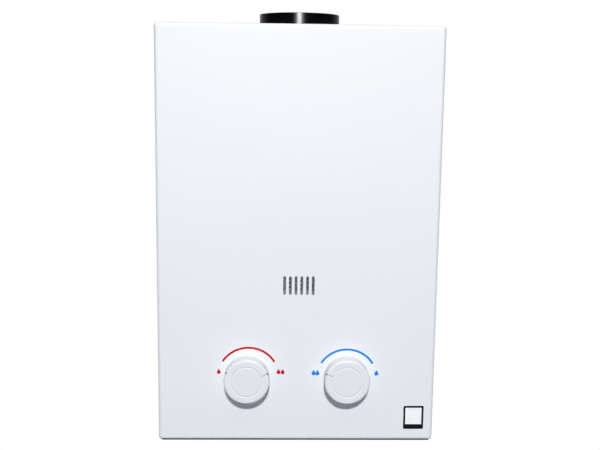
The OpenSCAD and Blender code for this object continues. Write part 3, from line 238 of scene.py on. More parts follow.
floor_mesh = bpy.data.meshes.new("floor")
corners = np.array([(-1, -1), (1, -1), (1, 1), (-1, 1)]) * FLOOR_HALF
floor_mesh.from_pydata([(x, y, FLOOR_Z) for x, y in corners], [], [(0, 1, 2, 3)])
floor = bpy.data.objects.new("floor", floor_mesh)
bpy.context.scene.collection.objects.link(floor)
floor_paint = bpy.data.materials.new("pale_floor")
floor_paint.use_nodes = True
tree = floor_paint.node_tree
tree.nodes.clear()
where = tree.nodes.new("ShaderNodeTexCoord")
distance = tree.nodes.new("ShaderNodeVectorMath")
distance.operation = "DISTANCE"
link(tree, where.outputs["Object"], distance.inputs[0])
distance.inputs[1].default_value = (0.0, 0.0, FLOOR_Z)
far = ramp(tree, distance.outputs["Value"], SHADOW_REACH)
dark = plain_shader(tree, "BsdfDiffuse", DARK_FLOOR)
pale = plain_shader(tree, "BsdfDiffuse", PALE_FLOOR)
glow = plain_shader(tree, "Emission", PURE_WHITE)
seen = mixed(tree, sum_node(tree, "MAXIMUM", far, 1 - LIT_SHARE), pale, glow)
either = mixed(tree, shown_white(tree, far), dark, seen)
floor_out = tree.nodes.new("ShaderNodeOutputMaterial")
link(tree, either.outputs[0], floor_out.inputs["Surface"])
floor_mesh.materials.append(floor_paint)
print("floor at z =", FLOOR_Z, "reaches", FLOOR_HALF, "m each way")


# %% [markdown]
# Every finish is one principled shader with a little variation. A picture could be wrapped on instead,
# but noise has no seam and no edge. A cloud of noise is read at a scale that the real surface has, and
# drives colour, gloss and relief. Most of a cloud lies within the noise band. The helpers below each add
# one such thread, so a finish reads as a short recipe.

# %% Helpers for finishes
NOISE_BAND = (0.3, 0.7)


def finish(name, colour, roughness, metallic=0.0, **sockets):
    """A material with one principled shader whose uniform values are set on its own sockets."""
    material = bpy.data.materials.new(name)
    material.use_nodes = True
    shader = material.node_tree.nodes["Principled BSDF"]
    shader.inputs["Base Color"].default_value = (*colour, 1.0)
    shader.inputs["Roughness"].default_value = roughness
    shader.inputs["Metallic"].default_value = metallic
    for socket, value in sockets.items():
        shader.inputs[socket.replace("_", " ")].default_value = value
    return material, material.node_tree, shader


def object_place(tree, stretch=(1, 1, 1)):
    """Object coordinates, with each axis multiplied by its stretch."""
    where = tree.nodes.new("ShaderNodeTexCoord")
    turn = tree.nodes.new("ShaderNodeMapping")
    turn.inputs["Scale"].default_value = stretch
    link(tree, where.outputs["Object"], turn.inputs["Vector"])
    return turn.outputs["Vector"]


def cloud(tree, scale, detail=3.0, stretch=(1, 1, 1)):
    """Noise from 0 to 1 with scale lumps in a metre."""
    noise = tree.nodes.new("ShaderNodeTexNoise")
    noise.inputs["Scale"].default_value = scale
    noise.inputs["Detail"].default_value = detail
    link(tree, object_place(tree, stretch), noise.inputs["Vector"])
    return noise.outputs["Fac"]


def spangle(tree, scale):
    """A random grey for each crystal, with scale crystals in a metre."""
    cells = tree.nodes.new("ShaderNodeTexVoronoi")
    cells.inputs["Scale"].default_value = scale
    link(tree, object_place(tree), cells.inputs["Vector"])
    grey = tree.nodes.new("ShaderNodeRGBToBW")
    link(tree, cells.outputs["Color"], grey.inputs[0])
    return grey.outputs[0]


def brighter(colour, factor, lift=0.0):
    """The colour times a factor, plus a lift, with no part past 1."""
    return [min(1.0, c * factor + lift) for c in colour]


def tint(tree, shader, amount, low, high):
    """Base colour that goes from low to high as amount crosses the noise band."""
    band = tree.nodes.new("ShaderNodeValToRGB")
    for stop, position, colour in zip(band.color_ramp.elements, NOISE_BAND, (low, high)):
        stop.position = position
        stop.color = (*colour, 1.0)
    link(tree, amount, band.inputs["Fac"])
    link(tree, band.outputs["Color"], shader.inputs["Base Color"])


def gloss(tree, shader, amount, low, high):
    """Roughness that goes from low to high as amount crosses the noise band."""
    link(tree, ramp(tree, amount, NOISE_BAND, (low, high)), shader.inputs["Roughness"])


def relief(tree, shader, amount, height):
    """A bump whose full height, in metres, is reached as amount goes from 0 to 1."""
    bump = tree.nodes.new("ShaderNodeBump")
    bump.inputs["Strength"].default_value = 1.0
    bump.inputs["Distance"].default_value = height
    link(tree, amount, bump.inputs["Height"])
    link(tree, bump.outputs["Normal"], shader.inputs["Normal"])


# %% [markdown]
# Paint first. The cover is steel with a baked powder coat: almost white, a shade cool, satin, with the
# faint orange peel that powder leaves when it melts. The collar has a harder, glossier black enamel. The
# knobs are moulded in white plastic that is a little greyer than the paint. A clear coat could be laid
# over each, but these surfaces have one skin, so a middling roughness on one layer comes nearer.

# %% Paint and plastic
def white_enamel():
    """Baked powder coat: tone and gloss drift together over a faint orange peel."""
    material, tree, shader = finish("white_enamel", (0.8, 0.825, 0.868), 0.5)
    broad = cloud(tree, 14, detail=2)
    tint(tree, shader, broad, (0.797, 0.824, 0.865), (0.806, 0.832, 0.873))
    gloss(tree, shader, broad, 0.47, 0.53)
    relief(tree, shader, cloud(tree, 620, detail=1), 6 * MICRON)
    return material


def black_enamel():
    """Stove enamel: almost black and glossy, with a shallower peel than the powder coat."""
    material, tree, shader = finish("black_enamel", (0.001, 0.001, 0.0018), 0.17, IOR=1.6)
    broad = cloud(tree, 60, detail=3)
    tint(tree, shader, broad, (0.0008, 0.0008, 0.0015), (0.0012, 0.0012, 0.002))
    gloss(tree, shader, broad, 0.16, 0.19)
    relief(tree, shader, cloud(tree, 500, detail=1), 4 * MICRON)
    return material


def moulded(name, colour, factor, roughness, grain, **sockets):
    """Moulded plastic: a fine spark-eroded grain, and gloss that drifts a little."""
    material, tree, shader = finish(name, colour, roughness, **sockets)
    broad = cloud(tree, 45, detail=2)
    tint(tree, shader, broad, colour, brighter(colour, factor))
    gloss(tree, shader, broad, roughness - 0.04, roughness + 0.05)
    relief(tree, shader, cloud(tree, 2600, detail=2), grain)
    return material


FINISHES = {
    "white_enamel": white_enamel(),
    "black_enamel": black_enamel(),
    "white_plastic": moulded("white_plastic", (0.768, 0.795, 0.835), 1.01, 0.5, 4 * MICRON,
                             Specular_IOR_Level=0.25),
    "dark_plastic": moulded("dark_plastic", (0.02, 0.02, 0.022), 1.35, 0.5, 30 * MICRON),
    "red_plastic": moulded("red_plastic", (0.42, 0.012, 0.01), 1.15, 0.4, 10 * MICRON),
}
print("paint and plastic:", list(FINISHES))


# %% [markdown]
# Bare metals differ by how they were made. Zinc-coated sheet shows crystals, drawn copper has darker
# heat marks, cast aluminium is grainy, turned brass has fine rings, and small plated pieces are plain
# and bright. One metal in several colours could serve them all. A recipe for each shows how the piece
# was made.

# %% Metals
def zinc_sheet():
    """Zinc-coated sheet: each crystal has its own grey and its own gloss."""
    material, tree, shader = finish("zinc_sheet", (0.55, 0.57, 0.59), 0.4, 1.0)
    crystals = spangle(tree, 260)
    tint(tree, shader, crystals, (0.63, 0.65, 0.67), (0.7, 0.72, 0.74))
    gloss(tree, shader, crystals, 0.36, 0.46)
    relief(tree, shader, cloud(tree, 900, detail=2), 8 * MICRON)
    return material


def copper():
    """Drawn copper: broad patches of heat colour, and gloss that changes more finely."""
    material, tree, shader = finish("copper", (0.72, 0.33, 0.19), 0.3, 1.0)
    tint(tree, shader, cloud(tree, 45, detail=3), (0.6, 0.25, 0.14), (0.77, 0.37, 0.23))
    gloss(tree, shader, cloud(tree, 260, detail=3), 0.22, 0.4)
    relief(tree, shader, cloud(tree, 900, detail=2), 4 * MICRON)
    return material


def cast_aluminium():
    """Cast aluminium: a dull skin with a grain deep enough to see."""
    material, tree, shader = finish("cast_aluminium", (0.56, 0.57, 0.58), 0.5, 1.0)
    tint(tree, shader, cloud(tree, 180, detail=4), (0.48, 0.49, 0.5), (0.62, 0.63, 0.64))
    gloss(tree, shader, cloud(tree, 400), 0.42, 0.58)
    relief(tree, shader, cloud(tree, 1300, detail=4), 60 * MICRON)
    return material


def turned_brass():
    """Turned brass: noise pressed flat along the axis leaves the rings of a lathe."""
    material, tree, shader = finish("turned_brass", (0.74, 0.52, 0.2), 0.28, 1.0)
    tint(tree, shader, cloud(tree, 120, detail=4), (0.64, 0.43, 0.15), (0.8, 0.58, 0.25))
    gloss(tree, shader, cloud(tree, 300), 0.2, 0.36)
    relief(tree, shader, cloud(tree, 500, detail=2, stretch=(0.2, 0.2, 14)), 8 * MICRON)
    return material


def plated_steel(name, low, high, rough):
    """Bright zinc plate with a slight stain that drifts over it."""
    material, tree, shader = finish(name, high, rough, 1.0)
    tint(tree, shader, cloud(tree, 160, detail=4), low, high)
    gloss(tree, shader, cloud(tree, 420), rough - 0.07, rough + 0.1)
    relief(tree, shader, cloud(tree, 1500, detail=2), 6 * MICRON)
    return material


FINISHES.update({
    "galvanised": zinc_sheet(),
    "copper": copper(),
    "cast_aluminium": cast_aluminium(),
    "brass": turned_brass(),
    "steel": plated_steel("plated_steel", (0.5, 0.51, 0.5), (0.63, 0.63, 0.62), 0.3),
    "burner_steel": plated_steel("burner_steel", (0.36, 0.34, 0.32), (0.5, 0.48, 0.46), 0.36),
})
print("metals added,", len(FINISHES), "finishes so far")


# %% [markdown]
# Rubber, fibre, glaze, dull wire and the jackets of the leads are left. Seals and leads are matt with a
# soft bloom. The strip under the cover is painted shade in a dark rubber finish: the moulded recipe suits
# it, with little mirroring, or it would show the white floor. The washers are pressed fibre with short
# flecks, the wire of the gauze has gone dull in the heat, and the electrodes are glazed.

# %% Rubber, fibre, wire and glaze
def jacket(name, colour, roughness=0.55):
    """Soft silicone or rubber: matt, with a faint dusty bloom."""
    material, tree, shader = finish(name, colour, roughness, Sheen_Weight=0.12, Sheen_Roughness=0.5)
    tint(tree, shader, cloud(tree, 220, detail=4), colour, brighter(colour, 1.3, lift=0.004))
    gloss(tree, shader, cloud(tree, 500), roughness - 0.05, roughness + 0.08)
    relief(tree, shader, cloud(tree, 2000, detail=2), 10 * MICRON)
    return material


def pressed_fibre():
    """Pressed fibre: flecks drawn out one way, which are also the relief."""
    material, tree, shader = finish("pressed_fibre", (0.28, 0.035, 0.02), 0.75)
    flecks = cloud(tree, 900, detail=4, stretch=(1, 0.2, 1))
    tint(tree, shader, flecks, (0.2, 0.025, 0.015), (0.36, 0.06, 0.035))
    relief(tree, shader, flecks, 50 * MICRON)
    return material


def dull_wire():
    """Wire with a skin of oxide: bluish grey, and hardly a metal to look at."""
    material, tree, shader = finish("gauze_wire", (0.33, 0.33, 0.4), 0.55, 0.2)
    tint(tree, shader, cloud(tree, 240, detail=4), (0.27, 0.27, 0.33), (0.4, 0.4, 0.48))
    gloss(tree, shader, cloud(tree, 500), 0.48, 0.62)
    relief(tree, shader, cloud(tree, 2500, detail=2), 10 * MICRON)
    return material


def glaze():
    """Glazed ceramic: a clear coat over a slightly cloudy body."""
    material, tree, shader = finish("glaze", (0.8, 0.78, 0.72), 0.12, Coat_Weight=0.5, Coat_Roughness=0.05)
    tint(tree, shader, cloud(tree, 600, detail=5), (0.74, 0.72, 0.66), (0.83, 0.81, 0.76))
    relief(tree, shader, cloud(tree, 300, detail=1), 10 * MICRON)
    return material


FINISHES.update({
    "black_rubber": jacket("black_rubber", (0.018, 0.018, 0.018)),
    # A dark rubber finish for the strip of painted shade under the cover.
    "painted_shade_rubber": moulded("painted_shade_rubber", (0.05, 0.05, 0.052), 1.2, 0.75, 10 * MICRON,
                           Specular_IOR_Level=0.1),
    "gauze_wire": dull_wire(),
    "red_lead": jacket("red_lead", (0.5, 0.02, 0.015), 0.45),
    "white_lead": jacket("white_lead", (0.68, 0.68, 0.65), 0.45),
    "black_lead": jacket("black_lead", (0.014, 0.014, 0.014), 0.4),
    "fibre": pressed_fibre(),
    "ceramic": glaze(),
    "cell_wrap": moulded("cell_wrap", (0.03, 0.06, 0.13), 1.3, 0.3, 5 * MICRON),
})
print(len(FINISHES), "finishes in all")


# %% [markdown]
# Materials could be given out by hand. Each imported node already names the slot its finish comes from, so
# one loop dresses them all.

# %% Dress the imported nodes
slot_of = {row["node"]: row["material_slot"] for row in frame["record"]["subparts"]}
for node, thing in frame["nodes"].items():
    thing.data.materials.clear()
    thing.data.materials.append(FINISHES[slot_of[node]])
print("dressed", len(slot_of), "nodes in", len(set(slot_of.values())), "finishes")


# %% [markdown]
# New surfaces are grids of points. They could be pushed into shape by hand, but a formula is exact and
# one number changes it. One helper takes grids, joins them into a mesh, welds the seams and turns the
# faces outwards. Another gives the piece its finish and sets it on its body.

# %% Helpers for surfaces
WELD = 0.1 * MICRON


def grid_faces(rows, columns, wrap_rows, wrap_columns):
    """Four corner numbers for each cell of a grid; a wrapped side joins its last line to its first."""
    r = np.arange(rows if wrap_rows else rows - 1)
    c = np.arange(columns if wrap_columns else columns - 1)
    r, c = np.meshgrid(r, c, indexing="ij")
    r2, c2 = (r + 1) % rows, (c + 1) % columns
    cells = np.stack([r * columns + c, r2 * columns + c, r2 * columns + c2, r * columns + c2], -1)
    return cells.reshape(-1, 4)


def surface(name, patches):
    """One object from patches, each (points of shape rows x columns x 3, wrap rows, wrap columns)."""
    points, faces, start = [], [], 0
    for array, wrap_rows, wrap_columns in patches:
        rows, columns = array.shape[:2]
        points.append(array.reshape(-1, 3))
        faces.append(grid_faces(rows, columns, wrap_rows, wrap_columns) + start)
        start += rows * columns
    mesh = bpy.data.meshes.new(name)
    mesh.from_pydata(np.concatenate(points).tolist(), [], np.concatenate(faces).tolist())
    work = bmesh.new()
    work.from_mesh(mesh)
    bmesh.ops.remove_doubles(work, verts=work.verts, dist=WELD)
    bmesh.ops.dissolve_degenerate(work, edges=work.edges, dist=WELD)
    bmesh.ops.recalc_face_normals(work, faces=work.faces)
    work.to_mesh(mesh)
    work.free()
    mesh.shade_smooth()
    thing = bpy.data.objects.new(name, mesh)
    bpy.context.scene.collection.objects.link(thing)
    return thing


def capped(rows):
    """Rings of points with both ends drawn in to their middles, which closes them."""
    ends = [np.broadcast_to(row.mean(0), row.shape)[None] for row in (rows[0], rows[-1])]
    return np.concatenate([ends[0], rows, ends[1]]), False, True


def crease(thing, degrees):
    """Keeps edges sharper than the angle as hard lines in the smooth shading."""
    thing.data.set_sharp_from_angle(angle=math.radians(degrees))


def fit_piece(thing, material, body="heater", stands_for=()):
    """Gives a new piece its finish and its body, and hides the nodes that it stands for."""
    thing.data.materials.append(material)
    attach(thing, body)
    if stands_for:
        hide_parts(*stands_for)
    print(thing.name, "has", len(thing.data.polygons), "faces")


# %% [markdown]
# Printing on a cover is a film of ink a few hundredths of a millimetre thick. A picture on the panel
# could carry it. Here each mark is a real, closed film with a bevelled edge, so it shows from any side.
# The scale over each knob is a stroke along an arc: the stroke is a profile carried along the arc, and
# its width shrinks as a half circle at both ends.

# %% Ink
INK = 0.05 * MM
ARC_RADIUS, ARC_STROKE, ARC_SPAN, ARC_STEPS = 32.4, 2.3, (31.0, 148.0), 120
ACROSS = np.array([-1.0, -0.9, 0.0, 0.9, 1.0])
ACROSS_LIFT = np.array([0.0, 1.0, 1.0, 1.0, 0.0])


def ink(name, colour):
    """Screen ink: dense colour, satin, with the slight unevenness of a squeegee."""
    material, tree, shader = finish(name, colour, 0.42, Specular_IOR_Level=0.2)
    tint(tree, shader, cloud(tree, 500, detail=3), brighter(colour, 0.93), brighter(colour, 1.05))
    gloss(tree, shader, cloud(tree, 900), 0.36, 0.5)
    return material


def film(name, patches):
    """A closed film of ink or paper: smooth on top, with a hard line where it meets the panel."""
    thing = surface(name, patches)
    crease(thing, degrees=60)
    return thing


def on_front(x, z, lift):
    """Points on the front panel from millimetres across and above the case's foot, raised by lift films."""
    return np.stack(np.broadcast_arrays(x * MM, FRONT_Y - INK * lift, z * MM - HANG_Z), -1)


def printed_arc(name, centre):
    """r = radius + w(s) * across, where w is half the stroke, drawn in as a half circle at both ends."""
    half = ARC_STROKE / 2
    turn = np.radians(np.linspace(*ARC_SPAN, ARC_STEPS))
    s = ARC_RADIUS * (turn - turn[0])
    over_end = np.maximum(0, np.maximum(half - s, s - (s[-1] - half))) / half
    w = half * np.sqrt(np.maximum(0, 1 - over_end ** 2))
    r = ARC_RADIUS + w[:, None] * ACROSS
    x = centre[0] + r * np.cos(turn)[:, None]
    z = centre[1] + r * np.sin(turn)[:, None]
    return film(name, [(on_front(x, z, ACROSS_LIFT), False, True)])


RED_INK = ink("red_ink", (0.54, 0.0, 0.006))
BLUE_INK = ink("blue_ink", (0.0, 0.235, 0.75))
BLACK_INK = ink("black_ink", (0.005, 0.006, 0.011))
fit_piece(printed_arc("gas_scale", centre=(-51.4, 70.8)), RED_INK)
fit_piece(printed_arc("water_scale", centre=(53.4, 69.3)), BLUE_INK)


# %% [markdown]
# One drop at one end of each scale and two at the other say which way is more. A drop could be drawn as
# a curve and filled. Here it is one closed formula, x = sin(t) sin(t/2)^m across and z = cos(t) up,
# which is pointed at the top and round below. Rings of that curve, drawn in to its middle, fill it, and
# one more at the panel closes its back.

# %% Drops
DROP_SHARPNESS, DROP_STEPS = 1.5, 48
DROP_RINGS = np.array([0.0, 0.5, 0.9, 1.0, 0.0])[:, None]
DROP_LIFT = np.array([1.0, 1.0, 1.0, 0.0, 0.0])[:, None]
RED_DROPS = ((-82.9, 77.3), (-19.4, 77.25), (-15.0, 77.1))
BLUE_DROPS = ((18.1, 76.2), (22.2, 76.2), (85.3, 76.1))


def printed_drops(name, places, width, height):
    """Rings of the drop curve about each place, in millimetres on the front."""
    t = np.linspace(0, 2 * np.pi, DROP_STEPS, endpoint=False)
    across = np.sin(t) * np.abs(np.sin(t / 2)) ** DROP_SHARPNESS
    across *= width / 2 / across.max()
    up = np.cos(t) * height / 2
    return film(name, [(on_front(x + DROP_RINGS * across, z + DROP_RINGS * up, DROP_LIFT), False, True)
                       for x, z in places])


fit_piece(printed_drops("gas_drops", RED_DROPS, width=4.0, height=5.9), RED_INK)
fit_piece(printed_drops("water_drops", BLUE_DROPS, width=4.3, height=6.3), BLUE_INK)


# %% [markdown]
# The sticker low on the right is a blank label: a white film with a black border that is wider along its
# foot. A plane with a picture could stand for it. Two films show the step between label and border. The
# border is the strip between two outlines with rounded corners, joined corner to corner.

# %% Sticker
STICKER_X, STICKER_Z = (115.6, 137.4), (13.1, 39.2)
BORDER, FOOT_BAR = 2.2, 5.4
OUTER_CORNER, INNER_CORNER, CORNER_STEPS = 1.1, 0.4, 10
LABEL_LIFT, BORDER_LIFT, BEVEL_START = 1.6, 2.2, 0.98


def round_outline(x, z, radius):
    """x and z round a rectangle with quarter circles at its corners, anticlockwise from the upper right."""
    quarter = np.linspace(0, np.pi / 2, CORNER_STEPS)
    turn = np.concatenate([quarter + corner * np.pi / 2 for corner in range(4)])
    cx = np.repeat([x[1] - radius, x[0] + radius, x[0] + radius, x[1] - radius], CORNER_STEPS)
    cz = np.repeat([z[1] - radius, z[1] - radius, z[0] + radius, z[0] + radius], CORNER_STEPS)
    return np.stack([cx + radius * np.cos(turn), cz + radius * np.sin(turn)])


def outlined_film(name, outlines, lifts, ring):
    """Outlines side by side, each lifted by its own number of films; a ring joins the last to the first."""
    x, z = np.stack(outlines, 1)
    return film(name, [(on_front(x, z, np.array(lifts)[:, None]), ring, True)])


outer = round_outline(STICKER_X, STICKER_Z, OUTER_CORNER)
inner_x = (STICKER_X[0] + BORDER, STICKER_X[1] - BORDER)
inner_z = (STICKER_Z[0] + FOOT_BAR, STICKER_Z[1] - BORDER)
inner = round_outline(inner_x, inner_z, INNER_CORNER)
middle = np.broadcast_to(inner.mean(1, keepdims=True), inner.shape)
bevel = BEVEL_START * outer + (1 - BEVEL_START) * inner
label_lifts = [LABEL_LIFT, LABEL_LIFT, 0.0, 0.0]
border_lifts = [0.0, BORDER_LIFT, BORDER_LIFT, 0.0]
label = outlined_film("sticker_label", [middle, inner, inner, middle], label_lifts, ring=False)
border = outlined_film("sticker_border", [inner, inner, bevel, outer], border_lifts, ring=True)
PAPER = moulded("label_film", (0.93, 0.93, 0.945), 1.01, 0.35, 3 * MICRON)
fit_piece(label, PAPER)
fit_piece(border, BLACK_INK)


# %% [markdown]
# The notches and the pointer's groove on the knobs are filled with dark ink as painted shade, standing in
# for the shade that falls into them. A second material on the knob's own faces could show it, but a thin
# piece of ink leaves the imported knob as it is. A notch in the rim takes a plug of painted shade: half a
# disc, carried from the notch's floor up to just under the knob's rounded edge. A hair line of painted
# shade lies along the bottom of the pointer's groove. Both turn with their knob.

# %% Knob marks
KNOB_X, KNOB_Z, KNOB_GAP = 53.0, 70.5, 0.8
KNOB_RADIUS, KNOB_HEIGHT, KNOB_EDGE = 24.0, 16.0, 2.2
PLUG_RADIUS, PLUG_OUT, PLUG_FLOOR, PLUG_STEPS = 1.0, 23.9, 13.0, 15
LINE_OUT, LINE_HALF, LINE_SINK = (17.0, 21.8), 0.2, 0.2
LINE_SECTION = np.array([[-1.0, 1.0, 0.4, -0.4], [0.0, 0.0, 1.0, 1.0]])
PAINT_SKIN = 0.05


def on_knob(side, degrees, out, across, height):
    """Points from millimetres out along a mark's direction, across it, and above the knob's foot."""
    a = math.radians(degrees)
    x = side * KNOB_X + out * math.cos(a) - across * math.sin(a)
    z = KNOB_Z + out * math.sin(a) + across * math.cos(a)
    return np.stack([x * MM, FRONT_Y - (KNOB_GAP + height) * MM, z * MM - HANG_Z], -1)


def notch_plug(side, degrees):
    """Half a disc of painted shade from the floor to a skin under the edge, H - e + sqrt(e^2 - (out - R +
    e)^2).
    """
    phi = np.linspace(0.5, 1.5, PLUG_STEPS) * np.pi
    out = PLUG_OUT + PLUG_RADIUS * np.cos(phi)
    across = PLUG_RADIUS * np.sin(phi)
    foot = np.full_like(out, PLUG_FLOOR)
    edge = KNOB_HEIGHT - KNOB_EDGE + np.sqrt(KNOB_EDGE ** 2 - (out - KNOB_RADIUS + KNOB_EDGE) ** 2)
    return capped(np.stack([on_knob(side, degrees, out, across, h) for h in (foot, edge - PAINT_SKIN)]))


def pointer_line(side, degrees):
    """A strip of painted shade along the bottom of the pointer's groove, narrower below, as its section
    says.
    """
    across = LINE_SECTION[0] * LINE_HALF
    height = KNOB_HEIGHT - LINE_SINK - LINE_SECTION[1] * PAINT_SKIN
    return capped(np.stack([on_knob(side, degrees, out, across, height) for out in LINE_OUT]))


# Dark ink for the painted shade in the notches and the pointer's groove.
PAINTED_SHADE_INK = ink("painted_shade_ink", (0.05, 0.053, 0.06))
KNOB_MARKS = (("gas_knob", -1, 22.5, (22.5, 155.0)), ("water_knob", 1, 157.5, (157.5,)))
for body, side, pointer, notches in KNOB_MARKS:
    patches = [pointer_line(side, pointer)] + [notch_plug(side, degrees) for degrees in notches]
    marks = surface(body + "_painted_shade", patches)
    crease(marks, degrees=40)
    fit_piece(marks, PAINTED_SHADE_INK, body=body)


# %% [markdown]
# A dark strip in a rubber finish runs under the lower rim of the cover. It is painted shade: it stands in
# for the shade under the cover's rounded lower edge, and shows as a dark line under the panel. A curve
# with a bevel could draw it. Here its section is carried along a path instead, so the top of the strip
# can follow the rounded edge of the sheet exactly. In plan the path is a U with two round corners, and
# each point of the section is moved in from it along the path's normal.

# %% Rim strip
EDGE_RADIUS, STRIP_CORNER, STRIP_BACK = 4.0, 5.6, -12.0
STRIP_IN, STRIP_OUT, STRIP_DROP = 5.2, 0.65, 0.8
SECTION_STEPS, SECTION_POWER, BEND_STEPS = 17, 0.6, 13


def sheet_foot(inset):
    """Height of the cover's outer face over its foot: a circle up to the edge's radius, then flat."""
    rest = np.maximum(EDGE_RADIUS - inset, 0)
    return EDGE_RADIUS - np.sqrt(EDGE_RADIUS ** 2 - rest ** 2)


def strip_section():
    """Inset and height round the strip: the sheet above, and a flattened half round, sin(t)^0.6, below."""
    t = np.linspace(0, np.pi, SECTION_STEPS)
    across = (STRIP_IN + STRIP_OUT) / 2 + (STRIP_IN - STRIP_OUT) / 2 * np.cos(t)
    above = across[::-1][1:-1]
    inset = np.concatenate([across, above])
    drop = np.concatenate([STRIP_DROP * np.abs(np.sin(t)) ** SECTION_POWER, np.zeros(len(above))])
    return inset, sheet_foot(inset) - drop


def carried_strip(name):
    """Each station of the U has a centre and an outward direction; a point lies corner - inset out."""
    quarter = np.linspace(0, 90, BEND_STEPS)
    turn = np.radians(np.concatenate([[180], 180 + quarter, 270 + quarter, [360]]))
    side = np.repeat([-1, 1], len(turn) // 2) * (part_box("front_cover")[1].x / MM - STRIP_CORNER)
    depth = np.full(len(turn), FRONT_Y / MM + STRIP_CORNER)
    depth[[0, -1]] = STRIP_BACK
    inset, height = strip_section()
    reach = STRIP_CORNER - inset
    x = side[:, None] + reach * np.cos(turn)[:, None]
    y = depth[:, None] + reach * np.sin(turn)[:, None]
    z = np.broadcast_to(height, x.shape) - HANG_Z / MM
    return surface(name, [capped(np.stack([x, y, z], -1) * MM)])


# A dark strip of painted shade under the cover's lower edge.
strip = carried_strip("painted_shade_strip")
crease(strip, degrees=50)
fit_piece(strip, FINISHES["painted_shade_rubber"])


# %% [markdown]
# Behind the six slots is a woven gauze, laid on the diagonal. A plate with a see-through picture could
# stand for it, but real wires catch the light one by one. Each wire is a tube along a straight diagonal
# that dips over and under the wires it crosses, as a cosine. All wires of one direction are worked out
# in one array: they start and end where their diagonal meets the rectangle of the gauze.

# %% Gauze
ROOT_2 = math.sqrt(2)
WIRE_RADIUS, WIRE_PITCH, WEAVE = 0.52 * MM, 4.6 * MM / ROOT_2, 0.42 * MM
WIRE_STEPS, WIRE_SIDES = 90, 8
GAUZE_ROOM, GAUZE_MARGIN = 0.02 * MM, 0.4 * MM

gauze_low, gauze_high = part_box("viewing_gauze")
gauze_y = gauze_low.y + WIRE_RADIUS + WEAVE + GAUZE_ROOM
gauze_middle = np.array([(gauze_low.x + gauze_high.x) / 2, (gauze_low.z + gauze_high.z) / 2])
gauze_half = np.array([gauze_high.x - gauze_low.x, gauze_high.z - gauze_low.z]) / 2 - GAUZE_MARGIN


def diagonal_wires(lean):
    """Tubes along (1, lean) / root 2, which dip by WEAVE cos(pi s / pitch) and its reverse by turns."""
    along = np.array([1.0, lean]) / ROOT_2
    beside = np.array([-lean, 1.0]) / ROOT_2
    most = int((gauze_half[0] + gauze_half[1]) / ROOT_2 / WIRE_PITCH)
    number = np.arange(-most, most + 1)
    offset = number[:, None] * WIRE_PITCH * beside
    first = (-gauze_half - offset * np.sign(along)) / np.abs(along)
    last = (gauze_half - offset * np.sign(along)) / np.abs(along)
    s0, s1 = first.max(1), last.min(1)
    long_enough = s1 - s0 > WIRE_PITCH
    number, offset, s0, s1 = (a[long_enough] for a in (number, offset, s0, s1))
    s = s0[:, None] + (s1 - s0)[:, None] * np.linspace(0, 1, WIRE_STEPS)
    dip = lean * WEAVE * np.cos(np.pi * s / WIRE_PITCH + np.pi * number[:, None])
    turn = np.linspace(0, 2 * np.pi, WIRE_SIDES, endpoint=False)
    flat = (gauze_middle + offset[:, None] + s[..., None] * along)[:, :, None, :]
    flat = flat + WIRE_RADIUS * np.cos(turn)[:, None] * beside
    depth = gauze_y + dip[:, :, None] + WIRE_RADIUS * np.sin(turn)
    return np.stack([flat[..., 0], depth, flat[..., 1]], -1)


wires = [tube for lean in (1, -1) for tube in diagonal_wires(lean)]
gauze = surface("woven_gauze", [capped(tube) for tube in wires])
fit_piece(gauze, FINISHES["gauze_wire"], stands_for=["viewing_gauze"])


# %% [markdown]
# The three brass connectors carry half-inch pipe threads. A Screw modifier could wind one. Here a thread
# is a surface of revolution whose radius also depends on the angle: the depth below the crest is a
# triangular wave of z / pitch minus the turn, so the groove climbs one pitch in each turn. The same grid
# goes on through the undercut, the shank, the top and the bore, so the piece is one closed skin.

# %% Threads
CREST, THREAD_PITCH, THREAD_DEPTH = 20.955 / 2 * MM, 1.814 * MM, 1.16 * MM
THREAD_TOP, THREAD_ROWS, LEAD_IN = -6.3 * MM - HANG_Z, 100, 1.4 * MM
GROOVE_PEAK, GROOVE_SLOPE = 1.25, 1.5
UNDERCUT, UNDERCUT_HEIGHT = 1 * MM, 2 * MM
BORE, TOP_CHAMFER, BORE_CHAMFER, MOUTH_CHAMFER = 6.1 * MM, 0.6 * MM, 0.4 * MM, 0.5 * MM
CONNECTORS = ("gas_inlet", "cold_inlet", "hot_outlet")
TURN = np.linspace(0, 2 * np.pi, 120, endpoint=False)


def plan_middle(node):
    """Where a node's upright axis stands in plan."""
    low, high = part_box(node)
    return (low.x + high.x) / 2, (low.y + high.y) / 2


def turned(axis, r, z):
    """A closed skin round an upright axis: (x + r cos(turn), y + r sin(turn), z), r given for each row."""
    x, y = axis[0] + r * np.cos(TURN), axis[1] + r * np.sin(TURN)
    return np.stack([x, y, np.broadcast_to(z[:, None], x.shape)], -1), True, True


